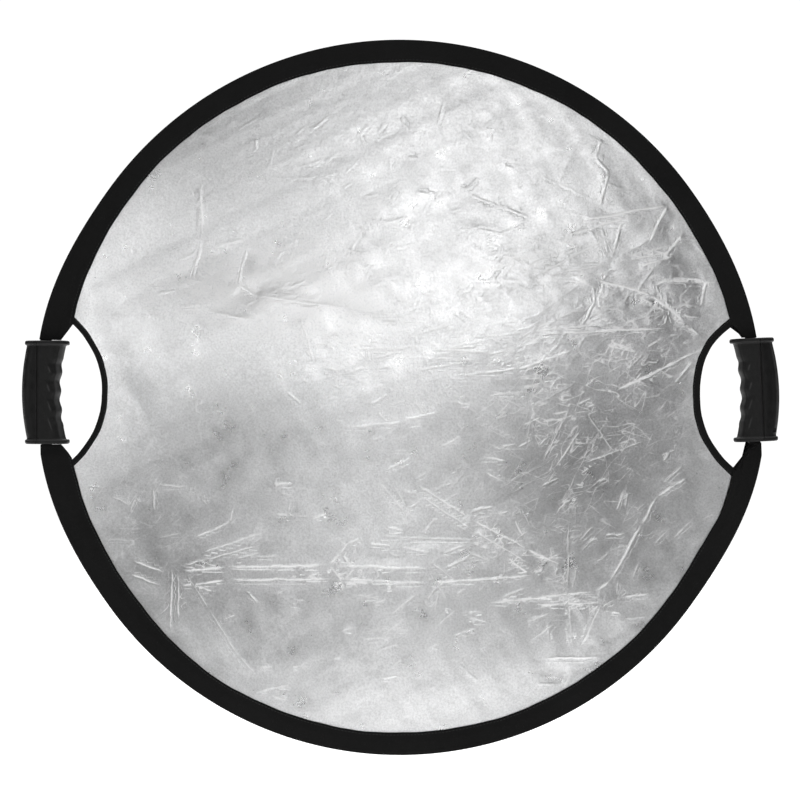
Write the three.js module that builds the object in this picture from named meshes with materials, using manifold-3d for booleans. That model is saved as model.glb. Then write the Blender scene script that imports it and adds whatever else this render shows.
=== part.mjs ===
// Collapsible reflector disc of the 80 cm class, held by two moulded hand grips on its rim.
// Millimetres. The disc stands in the XZ plane with +Z up and its centre at the origin: the
// silver face looks along -Y, the zipped face along +Y, and the grips are at -X and +X.
import * as THREE from "three";
import { mergeVertices } from "three/addons/utils/BufferGeometryUtils.js";
import Module from "manifold-3d";

const wasm = await Module();
wasm.setup();

// --- Driving dimensions -------------------------------------------------------------------

const rimRadius = 400; // outer edge of the black rim
const rimWidth = 25; // the rim band, from its outer edge to its stitched inner edge
const rimHalfDepth = 5; // half the rim's depth along Y, where it wraps the hoop
const cloth = 0.6; // wall of every sewn channel
const gap = 0.3; // between touching pieces

const hoopThickness = 1.2; // flat spring steel, bent the easy way
const ferruleWall = 0.35;

const panelThickness = 0.5; // the front, middle and back panels
const panelSpacing = 2.3; // from the middle panel to the front and back ones
const bindingThickness = 1.2;

const zipRadius = 388.4; // the line where the two rows of teeth meet
const zipStart = 204; // degrees from +X towards +Z: the closed end, under the left grip
const zipEnd = 336; // the open end, under the right grip
const zipHeight = rimHalfDepth + gap; // the zip tapes lie on the rim's back face

const gripLength = 115.5;
const gripHalfDepth = 15;
const partingPlane = 9; // between the palm shell and the finger shell, from the grip's middle

const fullCircle = 360;
const ringSegments = 96;
const ringStep = fullCircle / ringSegments;
const weldDistance = 1e-3; // vertices closer than this are one vertex

// Each side's hand opening is an arc cut out of the panels. The rim's end is cut slantwise from
// rimCorner, on the opening, to rimNarrow, at the grip. The stiff grip holds the hoop straight,
// so the rim swells beside it: bulgeAbove and bulgeBelow, at the grip's two ends.
const sides = [
  {
    name: "left",
    sign: -1,
    grip: { x: -394.5, z: 5.7, tilt: 0, roll: 180 },
    opening: { x: -436, z: 6.5, radius: 103, binding: 6.5 },
    rimCorner: 367,
    rimNarrow: 378,
    bulgeAbove: 8.1,
    bulgeBelow: 6.6,
  },
  {
    name: "right",
    sign: 1,
    grip: { x: 396.5, z: 8.5, tilt: -2.4, roll: -8 },
    opening: { x: 439, z: 1, radius: 103, binding: 8.5 },
    rimCorner: 372,
    rimNarrow: 382,
    bulgeAbove: 4.8,
    bulgeBelow: 10,
  },
];

// --- Derived dimensions -------------------------------------------------------------------

const rimInner = rimRadius - rimWidth;
const sleeveOuter = rimRadius - cloth - gap;
const sleeveHalfDepth = rimHalfDepth - cloth - gap;
const sleeveMouth = rimInner + 4;
const hoopClearance = cloth + 2 * gap + ferruleWall; // from the sleeve's outside to the hoop
const hoopOuter = sleeveOuter - hoopClearance;
const hoopWidth = 2 * (sleeveHalfDepth - hoopClearance);
const hoopMiddle = hoopOuter - hoopThickness / 2;
const panelRadius = rimInner + 3; // the panels' edges lie under the rim band
const flapFoldZ = -153; // the fold line between the two ends of the zip

// --- Solids -------------------------------------------------------------------------------

const radians = (degrees) => THREE.MathUtils.degToRad(degrees);

// The bare closed surface of a geometry, as a solid that can be cut and joined.
function solidFrom(geometry) {
  const bare = geometry.index ? geometry.toNonIndexed() : geometry.clone();
  bare.deleteAttribute("normal");
  bare.deleteAttribute("uv");
  const merged = mergeVertices(bare, weldDistance);
  return new wasm.Manifold(
    new wasm.Mesh({
      numProp: 3,
      vertProperties: merged.attributes.position.array,
      triVerts: new Uint32Array(merged.index.array),
    }),
  );
}

function geometryFrom(solid) {
  const { numVert, numProp, vertProperties, triVerts } = solid.getMesh();
  const positions = new Float32Array(numVert * 3);
  for (let i = 0; i < numVert; i++) {
    positions.set(vertProperties.subarray(i * numProp, i * numProp + 3), i * 3);
  }
  const geometry = new THREE.BufferGeometry();
  geometry.setAttribute("position", new THREE.BufferAttribute(positions, 3));
  geometry.setIndex(new THREE.BufferAttribute(triVerts, 1));
  geometry.computeVertexNormals();
  return geometry;
}

// A flat plate: a shape drawn in x and z, between two depths along Y.
function plate(shape, yFront, yBack, curveSegments = ringSegments / 2) {
  const depth = yBack - yFront;
  const geometry = new THREE.ExtrudeGeometry(shape, { depth, bevelEnabled: false, curveSegments });
  return solidFrom(geometry.rotateX(Math.PI / 2).translate(0, yBack, 0));
}

// A ring about the disc's axis, from a closed profile of [radius, y] points.
function ring(profile) {
  const points = profile.map(([radius, y]) => new THREE.Vector2(radius, y));
  return solidFrom(new THREE.LatheGeometry([...points, points[0]], ringSegments));
}

// A rectangular ring, which most of the flat strips around the disc are.
function flatRing(inner, outer, yFront, yBack) {
  return ring([
    [inner, yBack],
    [inner, yFront],
    [outer, yFront],
    [outer, yBack],
  ]);
}

// A wedge from the disc's centre, between two angles in degrees from +X towards +Z.
function sector(fromAngle, toAngle) {
  const reach = 2 * rimRadius;
  const steps = Math.ceil((toAngle - fromAngle) / 30);
  const shape = new THREE.Shape();
  shape.moveTo(0, 0);
  for (let i = 0; i <= steps; i++) {
    const angle = radians(fromAngle + ((toAngle - fromAngle) * i) / steps);
    shape.lineTo(reach * Math.cos(angle), reach * Math.sin(angle));
  }
  return plate(shape, -rimRadius, rimRadius);
}

function box(xRange, yRange, zRange) {
  const [width, depth, height] = [xRange, yRange, zRange].map(([low, high]) => high - low);
  const [x, y, z] = [xRange, yRange, zRange].map(([low, high]) => (low + high) / 2);
  return solidFrom(new THREE.BoxGeometry(width, depth, height).translate(x, y, z));
}

// A cylinder between two x positions, at a y and a z.
function crossPin(radius, [xLow, xHigh], y, z, segments = 12) {
  const geometry = new THREE.CylinderGeometry(radius, radius, xHigh - xLow, segments);
  return solidFrom(geometry.rotateZ(-Math.PI / 2).translate((xLow + xHigh) / 2, y, z));
}

function discShape(radius) {
  const shape = new THREE.Shape();
  shape.absarc(0, 0, radius, 0, 2 * Math.PI);
  return shape;
}

// The round cut of one hand opening, widened by a margin.
function openingCut(side, margin = 0) {
  const { x, z, radius } = side.opening;
  const shape = new THREE.Shape();
  shape.absarc(x, z, radius + margin, 0, 2 * Math.PI);
  return plate(shape, -rimRadius, rimRadius, ringSegments / 2);
}

// --- The swelling of the rim beside the grips ---------------------------------------------

const straightHalfAngle = 9; // the hoop is straight through the grip, this far each way
const bulgeHalfAngle = 36; // and round again from here
const bulgeFromRadius = 368; // nothing inside this radius moves
const bulgeFullRadius = 396; // everything outside this radius moves the full amount

// How far the rim stands out beyond its circle, at an angle above the horizontal of one side.
function rimBulge(side, angle) {
  const atEnds = [side.bulgeBelow, side.bulgeAbove];
  if (Math.abs(angle) >= bulgeHalfAngle) return 0;
  if (Math.abs(angle) > straightHalfAngle) {
    const share = (Math.abs(angle) - straightHalfAngle) / (bulgeHalfAngle - straightHalfAngle);
    return atEnds[angle > 0 ? 1 : 0] * Math.cos((share * Math.PI) / 2) ** 2;
  }
  const [below, above] = atEnds.map((bulge, i) => {
    const end = radians(i ? straightHalfAngle : -straightHalfAngle);
    return new THREE.Vector2(Math.cos(end), Math.sin(end)).multiplyScalar(rimRadius + bulge);
  });
  const chord = above.clone().sub(below);
  const ray = new THREE.Vector2(Math.cos(radians(angle)), Math.sin(radians(angle)));
  return below.cross(chord) / ray.cross(chord) - rimRadius;
}

// Moves the outer parts of a geometry outwards beside the grips.
function swell(geometry) {
  const position = geometry.attributes.position;
  for (let i = 0; i < position.count; i++) {
    const x = position.getX(i);
    const z = position.getZ(i);
    const radius = Math.hypot(x, z);
    if (radius <= bulgeFromRadius) continue;
    const side = sides[x < 0 ? 0 : 1];
    const angle = THREE.MathUtils.radToDeg(Math.atan2(z, Math.abs(x)));
    const reach = (radius - bulgeFromRadius) / (bulgeFullRadius - bulgeFromRadius);
    const scale = 1 + (rimBulge(side, angle) * Math.min(1, reach)) / radius;
    position.setX(i, x * scale);
    position.setZ(i, z * scale);
  }
  return geometry;
}

// --- Materials ----------------------------------------------------------------------------

const material = (color, roughness, metalness = 0) =>
  new THREE.MeshStandardMaterial({ color, roughness, metalness });

const rimCloth = material(0x1c1c1d, 0.8);
const silverFoil = material(0xd4d6d8, 0.3, 0.9);
const goldFoil = material(0xc9a24a, 0.35, 0.9);
const whiteCloth = material(0xf2f2ee, 0.7);
const springSteel = material(0x8d9094, 0.35, 1);
const zipNylon = material(0x151515, 0.5);
const zipMetal = material(0x707275, 0.35, 1);
const gripPlastic = material(0x242425, 0.45);
const gripRubber = material(0x2a2a2a, 0.65);

const reflector = new THREE.Group();

function addPiece(parent, name, solid, look) {
  const mesh = new THREE.Mesh(geometryFrom(solid), look);
  mesh.name = name;
  parent.add(mesh);
  return mesh;
}

// A piece that follows the disc's own outline, swollen beside the grips.
function addDiscPiece(name, solid, look) {
  swell(addPiece(reflector, name, solid, look).geometry);
}

// --- The sprung hoop and the middle panel -------------------------------------------------

const ferruleAngle = 18.5 * ringStep; // where the hoop's two ends meet, between two facets' ends
const ferruleLength = 24;

function hoopSpring() {
  const half = hoopWidth / 2;
  const band = flatRing(hoopOuter - hoopThickness, hoopOuter, -half, half);
  const endGap = 0.15; // half the angle between the band's two ends, in degrees
  return band.subtract(sector(ferruleAngle - endGap, ferruleAngle + endGap));
}

// A crimped sleeve, open at both ends, around the two ends of the hoop.
function hoopFerrule() {
  const bore = [hoopThickness + 2 * gap, hoopWidth + 2 * gap];
  const outside = bore.map((size) => size + 2 * ferruleWall);
  const facetRadius = hoopMiddle * Math.cos(radians(ringStep / 2));
  const block = ([thick, wide], length) =>
    new THREE.BoxGeometry(thick, wide, length).translate(facetRadius, 0, 0);
  const ferrule = solidFrom(block(outside, ferruleLength));
  const hole = solidFrom(block(bore, 2 * ferruleLength));
  return turnedTo(ferrule.subtract(hole), ferruleAngle);
}

// The middle panel's black channel round the hoop. Inside the grips it is gathered narrower.
function hoopSleeve() {
  const middleWall = 1.3; // half the depth of its closed mouth
  const shoulder = rimInner + 15;
  const channel = ring([
    [sleeveMouth, middleWall],
    [sleeveMouth, middleWall - cloth],
    [shoulder, sleeveHalfDepth - cloth],
    [sleeveOuter - cloth, sleeveHalfDepth - cloth],
    [sleeveOuter - cloth, cloth - sleeveHalfDepth],
    [shoulder, cloth - sleeveHalfDepth],
    [sleeveMouth, cloth - middleWall],
    [sleeveMouth, -middleWall],
    [shoulder, -sleeveHalfDepth],
    [sleeveOuter, -sleeveHalfDepth],
    [sleeveOuter, sleeveHalfDepth],
    [shoulder, sleeveHalfDepth],
  ]);
  return gatherInGrips(geometryFrom(channel));
}

const gatheredMouth = 10; // how far the sleeve's mouth moves outwards inside the grips
const gatheredWithin = 1.5; // half grip lengths from a grip's middle to the end of the gathers
const gatherRun = 0.25; // half grip lengths over which they ease off

function gatherInGrips(geometry) {
  const position = geometry.attributes.position;
  const shoulder = rimInner + 17; // nothing outside this radius moves
  for (let i = 0; i < position.count; i++) {
    const [x, z] = [position.getX(i), position.getZ(i)];
    const radius = Math.hypot(x, z);
    if (radius >= shoulder) continue;
    const height = Math.abs(z) / (gripLength / 2);
    const share = THREE.MathUtils.clamp((gatheredWithin - height) / gatherRun, 0, 1);
    const depth = (shoulder - radius) / (shoulder - sleeveMouth);
    const scale = 1 + (gatheredMouth * depth * share) / radius;
    position.setX(i, x * scale);
    position.setZ(i, z * scale);
  }
  return solidFrom(geometry);
}

// A round panel with both hand openings cut out, less the width of their bindings.
function panel(radius, middleY) {
  const half = panelThickness / 2;
  const whole = plate(discShape(radius), middleY - half, middleY + half);
  return sides.reduce(
    (left, side) => left.subtract(openingCut(side, side.opening.binding)),
    whole,
  );
}

// The black strip sewn along one panel's edge at one hand opening.
function openingBinding(side, radius, middleY) {
  const half = bindingThickness / 2;
  const strip = plate(discShape(radius), middleY - half, middleY + half);
  return strip
    .intersect(openingCut(side, side.opening.binding - gap))
    .subtract(openingCut(side));
}

function addMiddlePanel() {
  const radius = sleeveMouth + 3.5;
  addDiscPiece("hoop_spring", hoopSpring(), springSteel);
  addDiscPiece("hoop_ferrule", hoopFerrule(), springSteel);
  addDiscPiece("hoop_sleeve", hoopSleeve(), rimCloth);
  addDiscPiece("diffuser_panel", panel(radius, 0), whiteCloth);
  for (const side of sides) {
    const binding = openingBinding(side, sleeveMouth - gap, 0);
    addDiscPiece("diffuser_binding_" + side.name, binding, rimCloth);
  }
}

// --- The cover ----------------------------------------------------------------------------

// The sewn channel of the cover, which wraps the sleeve and the hoop.
function coverChannel() {
  const edgeHalfDepth = 3.5; // at the stitched inner edge
  const shoulder = rimInner + 5;
  const corner = 0.6;
  const side = (sign) => [
    [rimInner, sign * (edgeHalfDepth - cloth)],
    [rimInner, sign * edgeHalfDepth],
    [shoulder, sign * rimHalfDepth],
    [rimRadius - corner, sign * rimHalfDepth],
    [rimRadius, sign * (rimHalfDepth - corner)],
  ];
  const inside = (sign) => [
    [shoulder, sign * (rimHalfDepth - cloth)],
    [rimRadius - cloth, sign * (rimHalfDepth - cloth)],
  ];
  return ring([
    ...side(-1),
    ...side(1).reverse(),
    ...inside(1),
    ...inside(-1).reverse(),
  ]);
}

// The slanted end of the rim band, which runs from the corner of the hand opening to the grip.
function rimEndCut(side, direction) {
  const { x, z, radius } = side.opening;
  const gripEnd = side.grip.z + direction * (gripLength / 2 + 1);
  const cornerX = side.sign * side.rimCorner;
  const cornerZ = z + direction * Math.sqrt(radius ** 2 - (cornerX - x) ** 2);
  const narrowX = side.sign * side.rimNarrow;
  const shape = new THREE.Shape();
  shape.moveTo(cornerX, cornerZ);
  shape.lineTo(narrowX, gripEnd);
  shape.lineTo(side.sign * 2 * rimRadius, gripEnd);
  shape.lineTo(side.sign * 2 * rimRadius, z - direction * radius);
  shape.lineTo(x - side.sign * radius, z - direction * radius);
  return plate(shape, -rimRadius, rimRadius);
}

function rimBetween(fromAngle, toAngle, direction) {
  const whole = coverChannel().intersect(sector(fromAngle, toAngle));
  return sides.reduce((left, side) => left.subtract(rimEndCut(side, direction)), whole);
}

const lipGap = 3.6; // between the rim's back lip and the flap's rim band, under the teeth
const lipRadius = zipRadius + lipGap / 2;
const flapRimRadius = zipRadius - lipGap / 2;

function zipOpening(inner, outer) {
  return flatRing(inner, outer, panelSpacing / 2, 2 * rimHalfDepth).intersect(
    sector(zipStart, zipEnd),
  );
}

function addCover() {
  addDiscPiece("cover_front_panel", panel(panelRadius, -panelSpacing), silverFoil);
  const back = panel(panelRadius, panelSpacing);
  const depths = [0, 2 * panelSpacing];
  const above = box([-rimRadius, rimRadius], depths, [flapFoldZ, rimRadius]);
  addDiscPiece("cover_back_panel", back.intersect(above), goldFoil);
  for (const side of sides) {
    const faces = { front: -panelSpacing, back: panelSpacing };
    for (const [face, y] of Object.entries(faces)) {
      const name = "cover_" + face + "_binding_" + side.name;
      addDiscPiece(name, openingBinding(side, rimInner - gap, y), rimCloth);
    }
  }
  addDiscPiece("cover_rim_upper", rimBetween(-2, 182, 1), rimCloth);
  const lower = rimBetween(178, fullCircle + 2, -1);
  const withOpening = lower.subtract(zipOpening(rimInner - 1, lipRadius));
  addDiscPiece("cover_rim_lower", withOpening, rimCloth);
}

// --- The zipped flap and the zip ----------------------------------------------------------

const toothWidth = 1.4;
const toothDepth = [rimHalfDepth - 0.1, rimHalfDepth + 1.3];
const tapeWidth = 4.2;
const flapEndGap = 0.7; // degrees, between the flap's rim band and the rim's cut ends

function zipStrip(inner, outer, [yFront, yBack], trim = 0) {
  return flatRing(inner, outer, yFront, yBack).intersect(sector(zipStart + trim, zipEnd - trim));
}

function addFlap() {
  const below = box([-rimRadius, rimRadius], [0, 2 * panelSpacing], [-rimRadius, flapFoldZ - 2 * gap]);
  const withinZip = sector(zipStart + flapEndGap, zipEnd - flapEndGap);
  const wide = panel(panelRadius, panelSpacing).intersect(below).intersect(withinZip);
  const narrow = panel(rimInner - 1, panelSpacing).intersect(below);
  addDiscPiece("flap_panel", narrow.add(wide), goldFoil);
  const band = coverChannel()
    .intersect(flatRing(rimInner - 1, flapRimRadius, panelSpacing / 2, 2 * rimHalfDepth))
    .intersect(sector(zipStart + flapEndGap, zipEnd - flapEndGap));
  addDiscPiece("flap_rim_band", band, rimCloth);
}

function addZip() {
  const tapeDepth = [zipHeight, zipHeight + 0.5];
  const half = gap / 2;
  const teeth = [zipRadius - half - toothWidth, zipRadius + half + toothWidth];
  const flapTape = [teeth[0] - gap - tapeWidth, teeth[0] - gap];
  const rimTape = [teeth[1] + gap, teeth[1] + gap + tapeWidth];
  addDiscPiece("zip_tape_flap", zipStrip(...flapTape, tapeDepth, 1), zipNylon);
  addDiscPiece("zip_tape_rim", zipStrip(...rimTape, tapeDepth, 1), zipNylon);
  addDiscPiece("zip_teeth_flap", zipStrip(teeth[0], zipRadius - half, toothDepth, 1.6), zipNylon);
  addDiscPiece("zip_teeth_rim", zipStrip(zipRadius + half, teeth[1], toothDepth, 1.6), zipNylon);
}

// Small pieces of the zip are built at +X and then turned to their place round the disc. There
// x is the radius, y the height off the rim and z the way along the zip.
function turnedTo(solid, angle) {
  return solidFrom(geometryFrom(solid).rotateY(-radians(angle)));
}

const stopLength = 3;
const topStop = { height: 1.6, angle: zipStart + 0.9 };
const pinBox = { height: 2, angle: zipEnd - 1.4 };

// A block over both rows of teeth, at one end of the zip.
function zipStop({ height, angle }) {
  const acrossTeeth = [zipRadius - toothWidth, zipRadius + toothWidth];
  const block = box(acrossTeeth, [toothDepth[0], toothDepth[0] + height], [0, stopLength]);
  return turnedTo(block, angle);
}

const sliderRestAngle = zipStart + 3.6;
const sliderRadius = zipRadius + 1.1; // between the track's middle and its swollen ends
const sliderBase = toothDepth[1] + gap;
const sliderThickness = 1.4;
const bailHeight = sliderBase + 4.6; // of the bar that the puller hangs on
const bailReach = 3.2; // from the slider's middle to the middle of each of the bail's posts
const barHalf = 0.6; // half the thickness of the bar and the posts

// The slider's plate, its two guide flanges and the bail on its back.
function zipSlider() {
  const r = sliderRadius;
  const halfWidth = 4.6; // at the end where the two rows of teeth part
  const noseHalfWidth = 4;
  const halfLength = 5.5;
  const crown = 2; // how far the wide end bows out
  const plateShape = new THREE.Shape();
  plateShape.moveTo(r - halfWidth, -halfLength);
  plateShape.quadraticCurveTo(r, -halfLength - crown, r + halfWidth, -halfLength);
  plateShape.lineTo(r + noseHalfWidth, halfLength);
  plateShape.lineTo(r - noseHalfWidth, halfLength);
  const top = plate(plateShape, sliderBase, sliderBase + sliderThickness, 6);
  const rooted = sliderBase + 1; // inside the plate, where the other parts of it join
  const guide = { reach: 3.5, half: 0.4, low: zipHeight + 0.8, halfLength: 4 };
  const guideFlange = (x) =>
    box(
      [x - guide.half, x + guide.half],
      [guide.low, rooted],
      [-guide.halfLength, guide.halfLength],
    );
  const postHalfLength = 0.7;
  const post = (x) =>
    box(
      [x - barHalf, x + barHalf],
      [rooted, bailHeight + barHalf],
      [-postHalfLength, postHalfLength],
    );
  const bar = box(
    [r - bailReach, r + bailReach],
    [bailHeight - barHalf, bailHeight + barHalf],
    [-barHalf, barHalf],
  );
  return top
    .add(guideFlange(r - guide.reach))
    .add(guideFlange(r + guide.reach))
    .add(post(r - bailReach))
    .add(post(r + bailReach))
    .add(bar);
}

// A flat tab with an eye round the bail's bar. It hangs along the zip.
function zipPuller() {
  const r = sliderRadius;
  const eyeHalfWidth = bailReach - barHalf - gap;
  const eyeHalfLength = 1.8;
  const eyeHalfDepth = 1.6;
  const tabHalfWidth = 3;
  const tabHalfDepth = 0.7;
  const shoulder = 8; // where the tab reaches its full width
  const tipCentre = 22;
  const around = (middle, half) => [middle - half, middle + half];
  const tab = new THREE.Shape();
  tab.moveTo(r - eyeHalfWidth, -eyeHalfLength);
  tab.lineTo(r + eyeHalfWidth, -eyeHalfLength);
  tab.lineTo(r + tabHalfWidth, shoulder);
  tab.lineTo(r + tabHalfWidth, tipCentre);
  tab.absarc(r, tipCentre, tabHalfWidth, 0, Math.PI);
  tab.lineTo(r - tabHalfWidth, shoulder);
  const body = plate(tab, ...around(bailHeight, tabHalfDepth), 8);
  const eyeBlock = box(
    around(r, eyeHalfWidth),
    around(bailHeight, eyeHalfDepth),
    around(0, eyeHalfLength),
  );
  const holeHalf = barHalf + gap;
  const barHole = box(around(r, 4), around(bailHeight, holeHalf), around(0, holeHalf));
  const cordHole = box(around(r, 1.2), around(bailHeight, 2), [18, 20.5]);
  return body.add(eyeBlock).subtract(barHole).subtract(cordHole);
}

// --- The hand grips -----------------------------------------------------------------------

// In a grip's own frame u (x) points to the palm, away from the disc, y is its depth and z runs
// along the hoop.
const flangeHalfWidth = 24.5;
const flangeHalfDepth = 17.5;
const flangeThickness = 5;
const bodyHalfLength = gripLength / 2 - flangeThickness;
const channel = { u: [-9.9, 9.2], halfDepth: 6.6 };

// Each side's reach in the middle of the grip and how far it has moved back at the ends.
const palmSide = { reach: 28, fall: 6, steps: 12 };
const fingerSide = { reach: 15.2, rise: 5.8, steps: 44 };
const grooves = { depth: 1.3, pitch: 20.5, shift: 1.5, within: 40, fade: 8 };

// The palm side bows out in the middle, and the finger side curves in, with four grooves.
function gripOutline() {
  const shape = new THREE.Shape();
  const halfSpan = bodyHalfLength + 1;
  for (let i = 0; i <= palmSide.steps; i++) {
    const z = halfSpan * (1 - (2 * i) / palmSide.steps);
    const u = palmSide.reach - palmSide.fall * (z / halfSpan) ** 2;
    if (i === 0) shape.moveTo(u, z);
    else shape.lineTo(u, z);
  }
  for (let i = 0; i <= fingerSide.steps; i++) {
    const z = halfSpan * ((2 * i) / fingerSide.steps - 1);
    const fade = THREE.MathUtils.clamp((grooves.within - Math.abs(z)) / grooves.fade, 0, 1);
    const wave = Math.cos((2 * Math.PI * (z - grooves.shift)) / grooves.pitch);
    const reach = fingerSide.reach + fingerSide.rise * (z / halfSpan) ** 2;
    shape.lineTo(-reach - grooves.depth * fade * wave, z);
  }
  return shape;
}

// A full oval, between an ellipse and a rectangle.
function fullOval(centreU, halfU, halfY, segments = 28) {
  const points = Array.from({ length: segments }, (_, i) => {
    const angle = (2 * Math.PI * i) / segments;
    const round = (value) => Math.sign(value) * Math.abs(value) ** 0.75;
    return new THREE.Vector2(
      centreU + halfU * round(Math.cos(angle)),
      halfY * round(Math.sin(angle)),
    );
  });
  return new THREE.Shape(points);
}

function upright(shape, zLow, zHigh) {
  const geometry = new THREE.ExtrudeGeometry(shape, { depth: zHigh - zLow, bevelEnabled: false });
  return solidFrom(geometry.translate(0, 0, zLow));
}

function gripBody() {
  const section = fullOval(3.5, 25.5, gripHalfDepth);
  const span = bodyHalfLength + 0.5;
  const body = upright(section, -span, span).intersect(
    plate(gripOutline(), -2 * gripHalfDepth, 2 * gripHalfDepth),
  );
  const flange = fullOval(0, flangeHalfWidth, flangeHalfDepth);
  const end = gripLength / 2;
  const passage = box(channel.u, [-channel.halfDepth, channel.halfDepth], [-gripLength, gripLength]);
  return body
    .add(upright(flange, bodyHalfLength, end))
    .add(upright(flange, -end, -bodyHalfLength))
    .subtract(passage);
}

// Two screws pull the shells together, one on each side of the passage for the hoop.
const screws = [
  { name: "top", y: 9, z: 46 },
  { name: "bottom", y: -9, z: -46 },
];
const screwRadius = 1.2;
const screwHeadRadius = 2.3;
const screwHead = [15, 17.4]; // where the head sits, at the bottom of its counterbore
const screwTip = -2;

function screwHoles() {
  return screws.map(({ y, z }) =>
    crossPin(screwRadius + gap, [screwTip - gap, screwHead[0] + 1], y, z).add(
      crossPin(screwHeadRadius + gap, [screwHead[0] - gap, 40], y, z),
    ),
  );
}

function gripScrew({ y, z }) {
  const shank = crossPin(screwRadius, [screwTip, screwHead[0] + 1], y, z);
  const slot = box([screwHead[1] - 1, 40], [y - 0.4, y + 0.4], [z - 1.7, z + 1.7]);
  return shank.add(crossPin(screwHeadRadius, screwHead, y, z)).subtract(slot);
}

function addGrip(side) {
  const grip = new THREE.Group();
  grip.position.set(side.grip.x, 0, side.grip.z);
  grip.rotation.order = "YXZ";
  grip.rotation.y = radians(side.grip.tilt);
  grip.rotation.z = radians(side.grip.roll);
  const far = 100;
  const half = gap / 2;
  const whole = screwHoles().reduce((left, hole) => left.subtract(hole), gripBody());
  const palm = box([partingPlane + half, far], [-far, far], [-far, far]);
  const fingers = box([-far, partingPlane - half], [-far, far], [-far, far]);
  const name = "grip_" + side.name;
  addPiece(grip, name + "_palm_shell", whole.intersect(palm), gripPlastic);
  addPiece(grip, name + "_finger_shell", whole.intersect(fingers), gripRubber);
  for (const screw of screws) {
    addPiece(grip, name + "_screw_" + screw.name, gripScrew(screw), zipMetal);
  }
  reflector.add(grip);
}

// --- The whole reflector ------------------------------------------------------------------

addMiddlePanel();
addCover();
addFlap();
addZip();
addDiscPiece("zip_top_stop", zipStop(topStop), zipMetal);
addDiscPiece("zip_pin_box", zipStop(pinBox), zipMetal);
addPiece(reflector, "zip_slider", turnedTo(zipSlider(), sliderRestAngle), zipMetal);
addPiece(reflector, "zip_puller", turnedTo(zipPuller(), sliderRestAngle), zipMetal);
sides.forEach(addGrip);

export default reflector;
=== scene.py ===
"""Looks of the collapsible reflector disc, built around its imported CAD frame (Blender 4.5).

Points are worked out in millimetres, as in the CAD, and become metres in mesh_of().
The disc stands in the XZ plane: silver face towards -Y, zipped gold face towards +Y.
"""

import math

import bmesh
import bpy
import numpy as np
from mathutils import Euler, Matrix, Vector


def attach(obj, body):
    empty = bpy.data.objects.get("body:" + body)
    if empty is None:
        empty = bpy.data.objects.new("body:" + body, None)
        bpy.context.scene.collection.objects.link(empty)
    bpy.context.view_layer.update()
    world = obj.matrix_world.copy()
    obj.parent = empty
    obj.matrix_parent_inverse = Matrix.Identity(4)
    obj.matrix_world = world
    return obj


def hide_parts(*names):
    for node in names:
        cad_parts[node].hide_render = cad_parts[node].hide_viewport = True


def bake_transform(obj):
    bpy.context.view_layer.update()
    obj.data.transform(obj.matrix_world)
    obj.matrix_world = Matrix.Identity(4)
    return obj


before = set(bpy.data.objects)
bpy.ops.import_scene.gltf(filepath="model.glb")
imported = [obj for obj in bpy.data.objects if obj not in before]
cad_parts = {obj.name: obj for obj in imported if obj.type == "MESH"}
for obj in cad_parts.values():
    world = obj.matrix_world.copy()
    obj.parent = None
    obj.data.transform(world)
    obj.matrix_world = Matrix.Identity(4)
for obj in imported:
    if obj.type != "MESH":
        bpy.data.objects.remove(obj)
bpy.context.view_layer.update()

MM = 0.001

# --- Dimensions, as in the CAD ---

RIM_RADIUS = 400.0
RIM_INNER = 375.0
RIM_WIDTH = RIM_RADIUS - RIM_INNER
RIM_LENGTH = 2513.0
RIM_HALF_DEPTH = 5.0
EDGE_HALF_DEPTH = 3.5
FOLD_RADIUS = 1.2  # of the tape where it turns round the outer edge
CLOTH = 0.6
GAP = 0.3
SLEEVE_OUTER = RIM_RADIUS - CLOTH - GAP
SLEEVE_HALF_DEPTH = RIM_HALF_DEPTH - CLOTH - GAP
SLEEVE_MOUTH = 379.0
PANEL_RADIUS = 383.0
DIFFUSER_RADIUS = 382.0
PANEL_SPACING = 2.3
PANEL_HALF = 0.12
PANEL_MARGIN = 2.0  # how far a panel stays under the hand openings' bindings
OPENING_RADIUS = 103.0
BINDING_THICKNESS = 1.15

ZIP_RADIUS = 388.4
ZIP_START, ZIP_END = 204.0, 336.0
LIP_RADIUS = 390.2
FLAP_RIM_RADIUS = 386.6
FLAP_END_GAP = 0.18
TAPE_Y = 5.3
FOLDED = "folded"  # stands for pieces that reach from the disc onto the flap; set_piece() gives them no body and bakes their place in

GRIP_HALF_LENGTH = 57.75
GRIP_BODY_HALF = 52.75
PARTING = 9.0

# corner is where a rim's end meets the hand opening and narrow where it meets the grip, both
# distances along X; each pair is below and above the grip.
SIDES = {
    "left": dict(sign=-1, opening=(-436.0, 6.5), binding=6.9, bulge=(6.6, 8.1), kink=0.0,
                 corner=(367.5, 367.4), narrow=(377.0, 376.8),
                 grip=(-394.5, 5.7), tilt=0.0, roll=180.0),
    "right": dict(sign=1, opening=(439.0, 1.0), binding=8.5, bulge=(10.0, 4.8), kink=3.0,
                  corner=(374.8, 372.6), narrow=(382.9, 380.2),
                  grip=(396.5, 8.5), tilt=-2.4, roll=-8.0),
}
SWELL_START = 375.0
SLEEVE_SWELL_START = 368.0
SWELL_FULL = 396.0

rng = np.random.default_rng(20)


# --- Small mathematics ---

def smooth(low, high, value):
    """0 below low, 1 above high, and a smooth step between."""
    t = np.clip((value - low) / (high - low), 0, 1)
    return t * t * (3 - 2 * t)


def ripple(along, waves, seed):
    """A sum of sines of the given (wavelength, height) pairs with seeded phases."""
    phases = np.random.default_rng(seed).uniform(0, 2 * np.pi, len(waves))
    return sum(h * np.sin(2 * np.pi * along / w + p) for (w, h), p in zip(waves, phases))


def bisect(high, below):
    """The value between 0 and high up to which below(value) holds."""
    low = 0.0
    for _ in range(40):
        middle = (low + high) / 2
        low, high = (middle, high) if below(middle) else (low, middle)
    return middle


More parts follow.
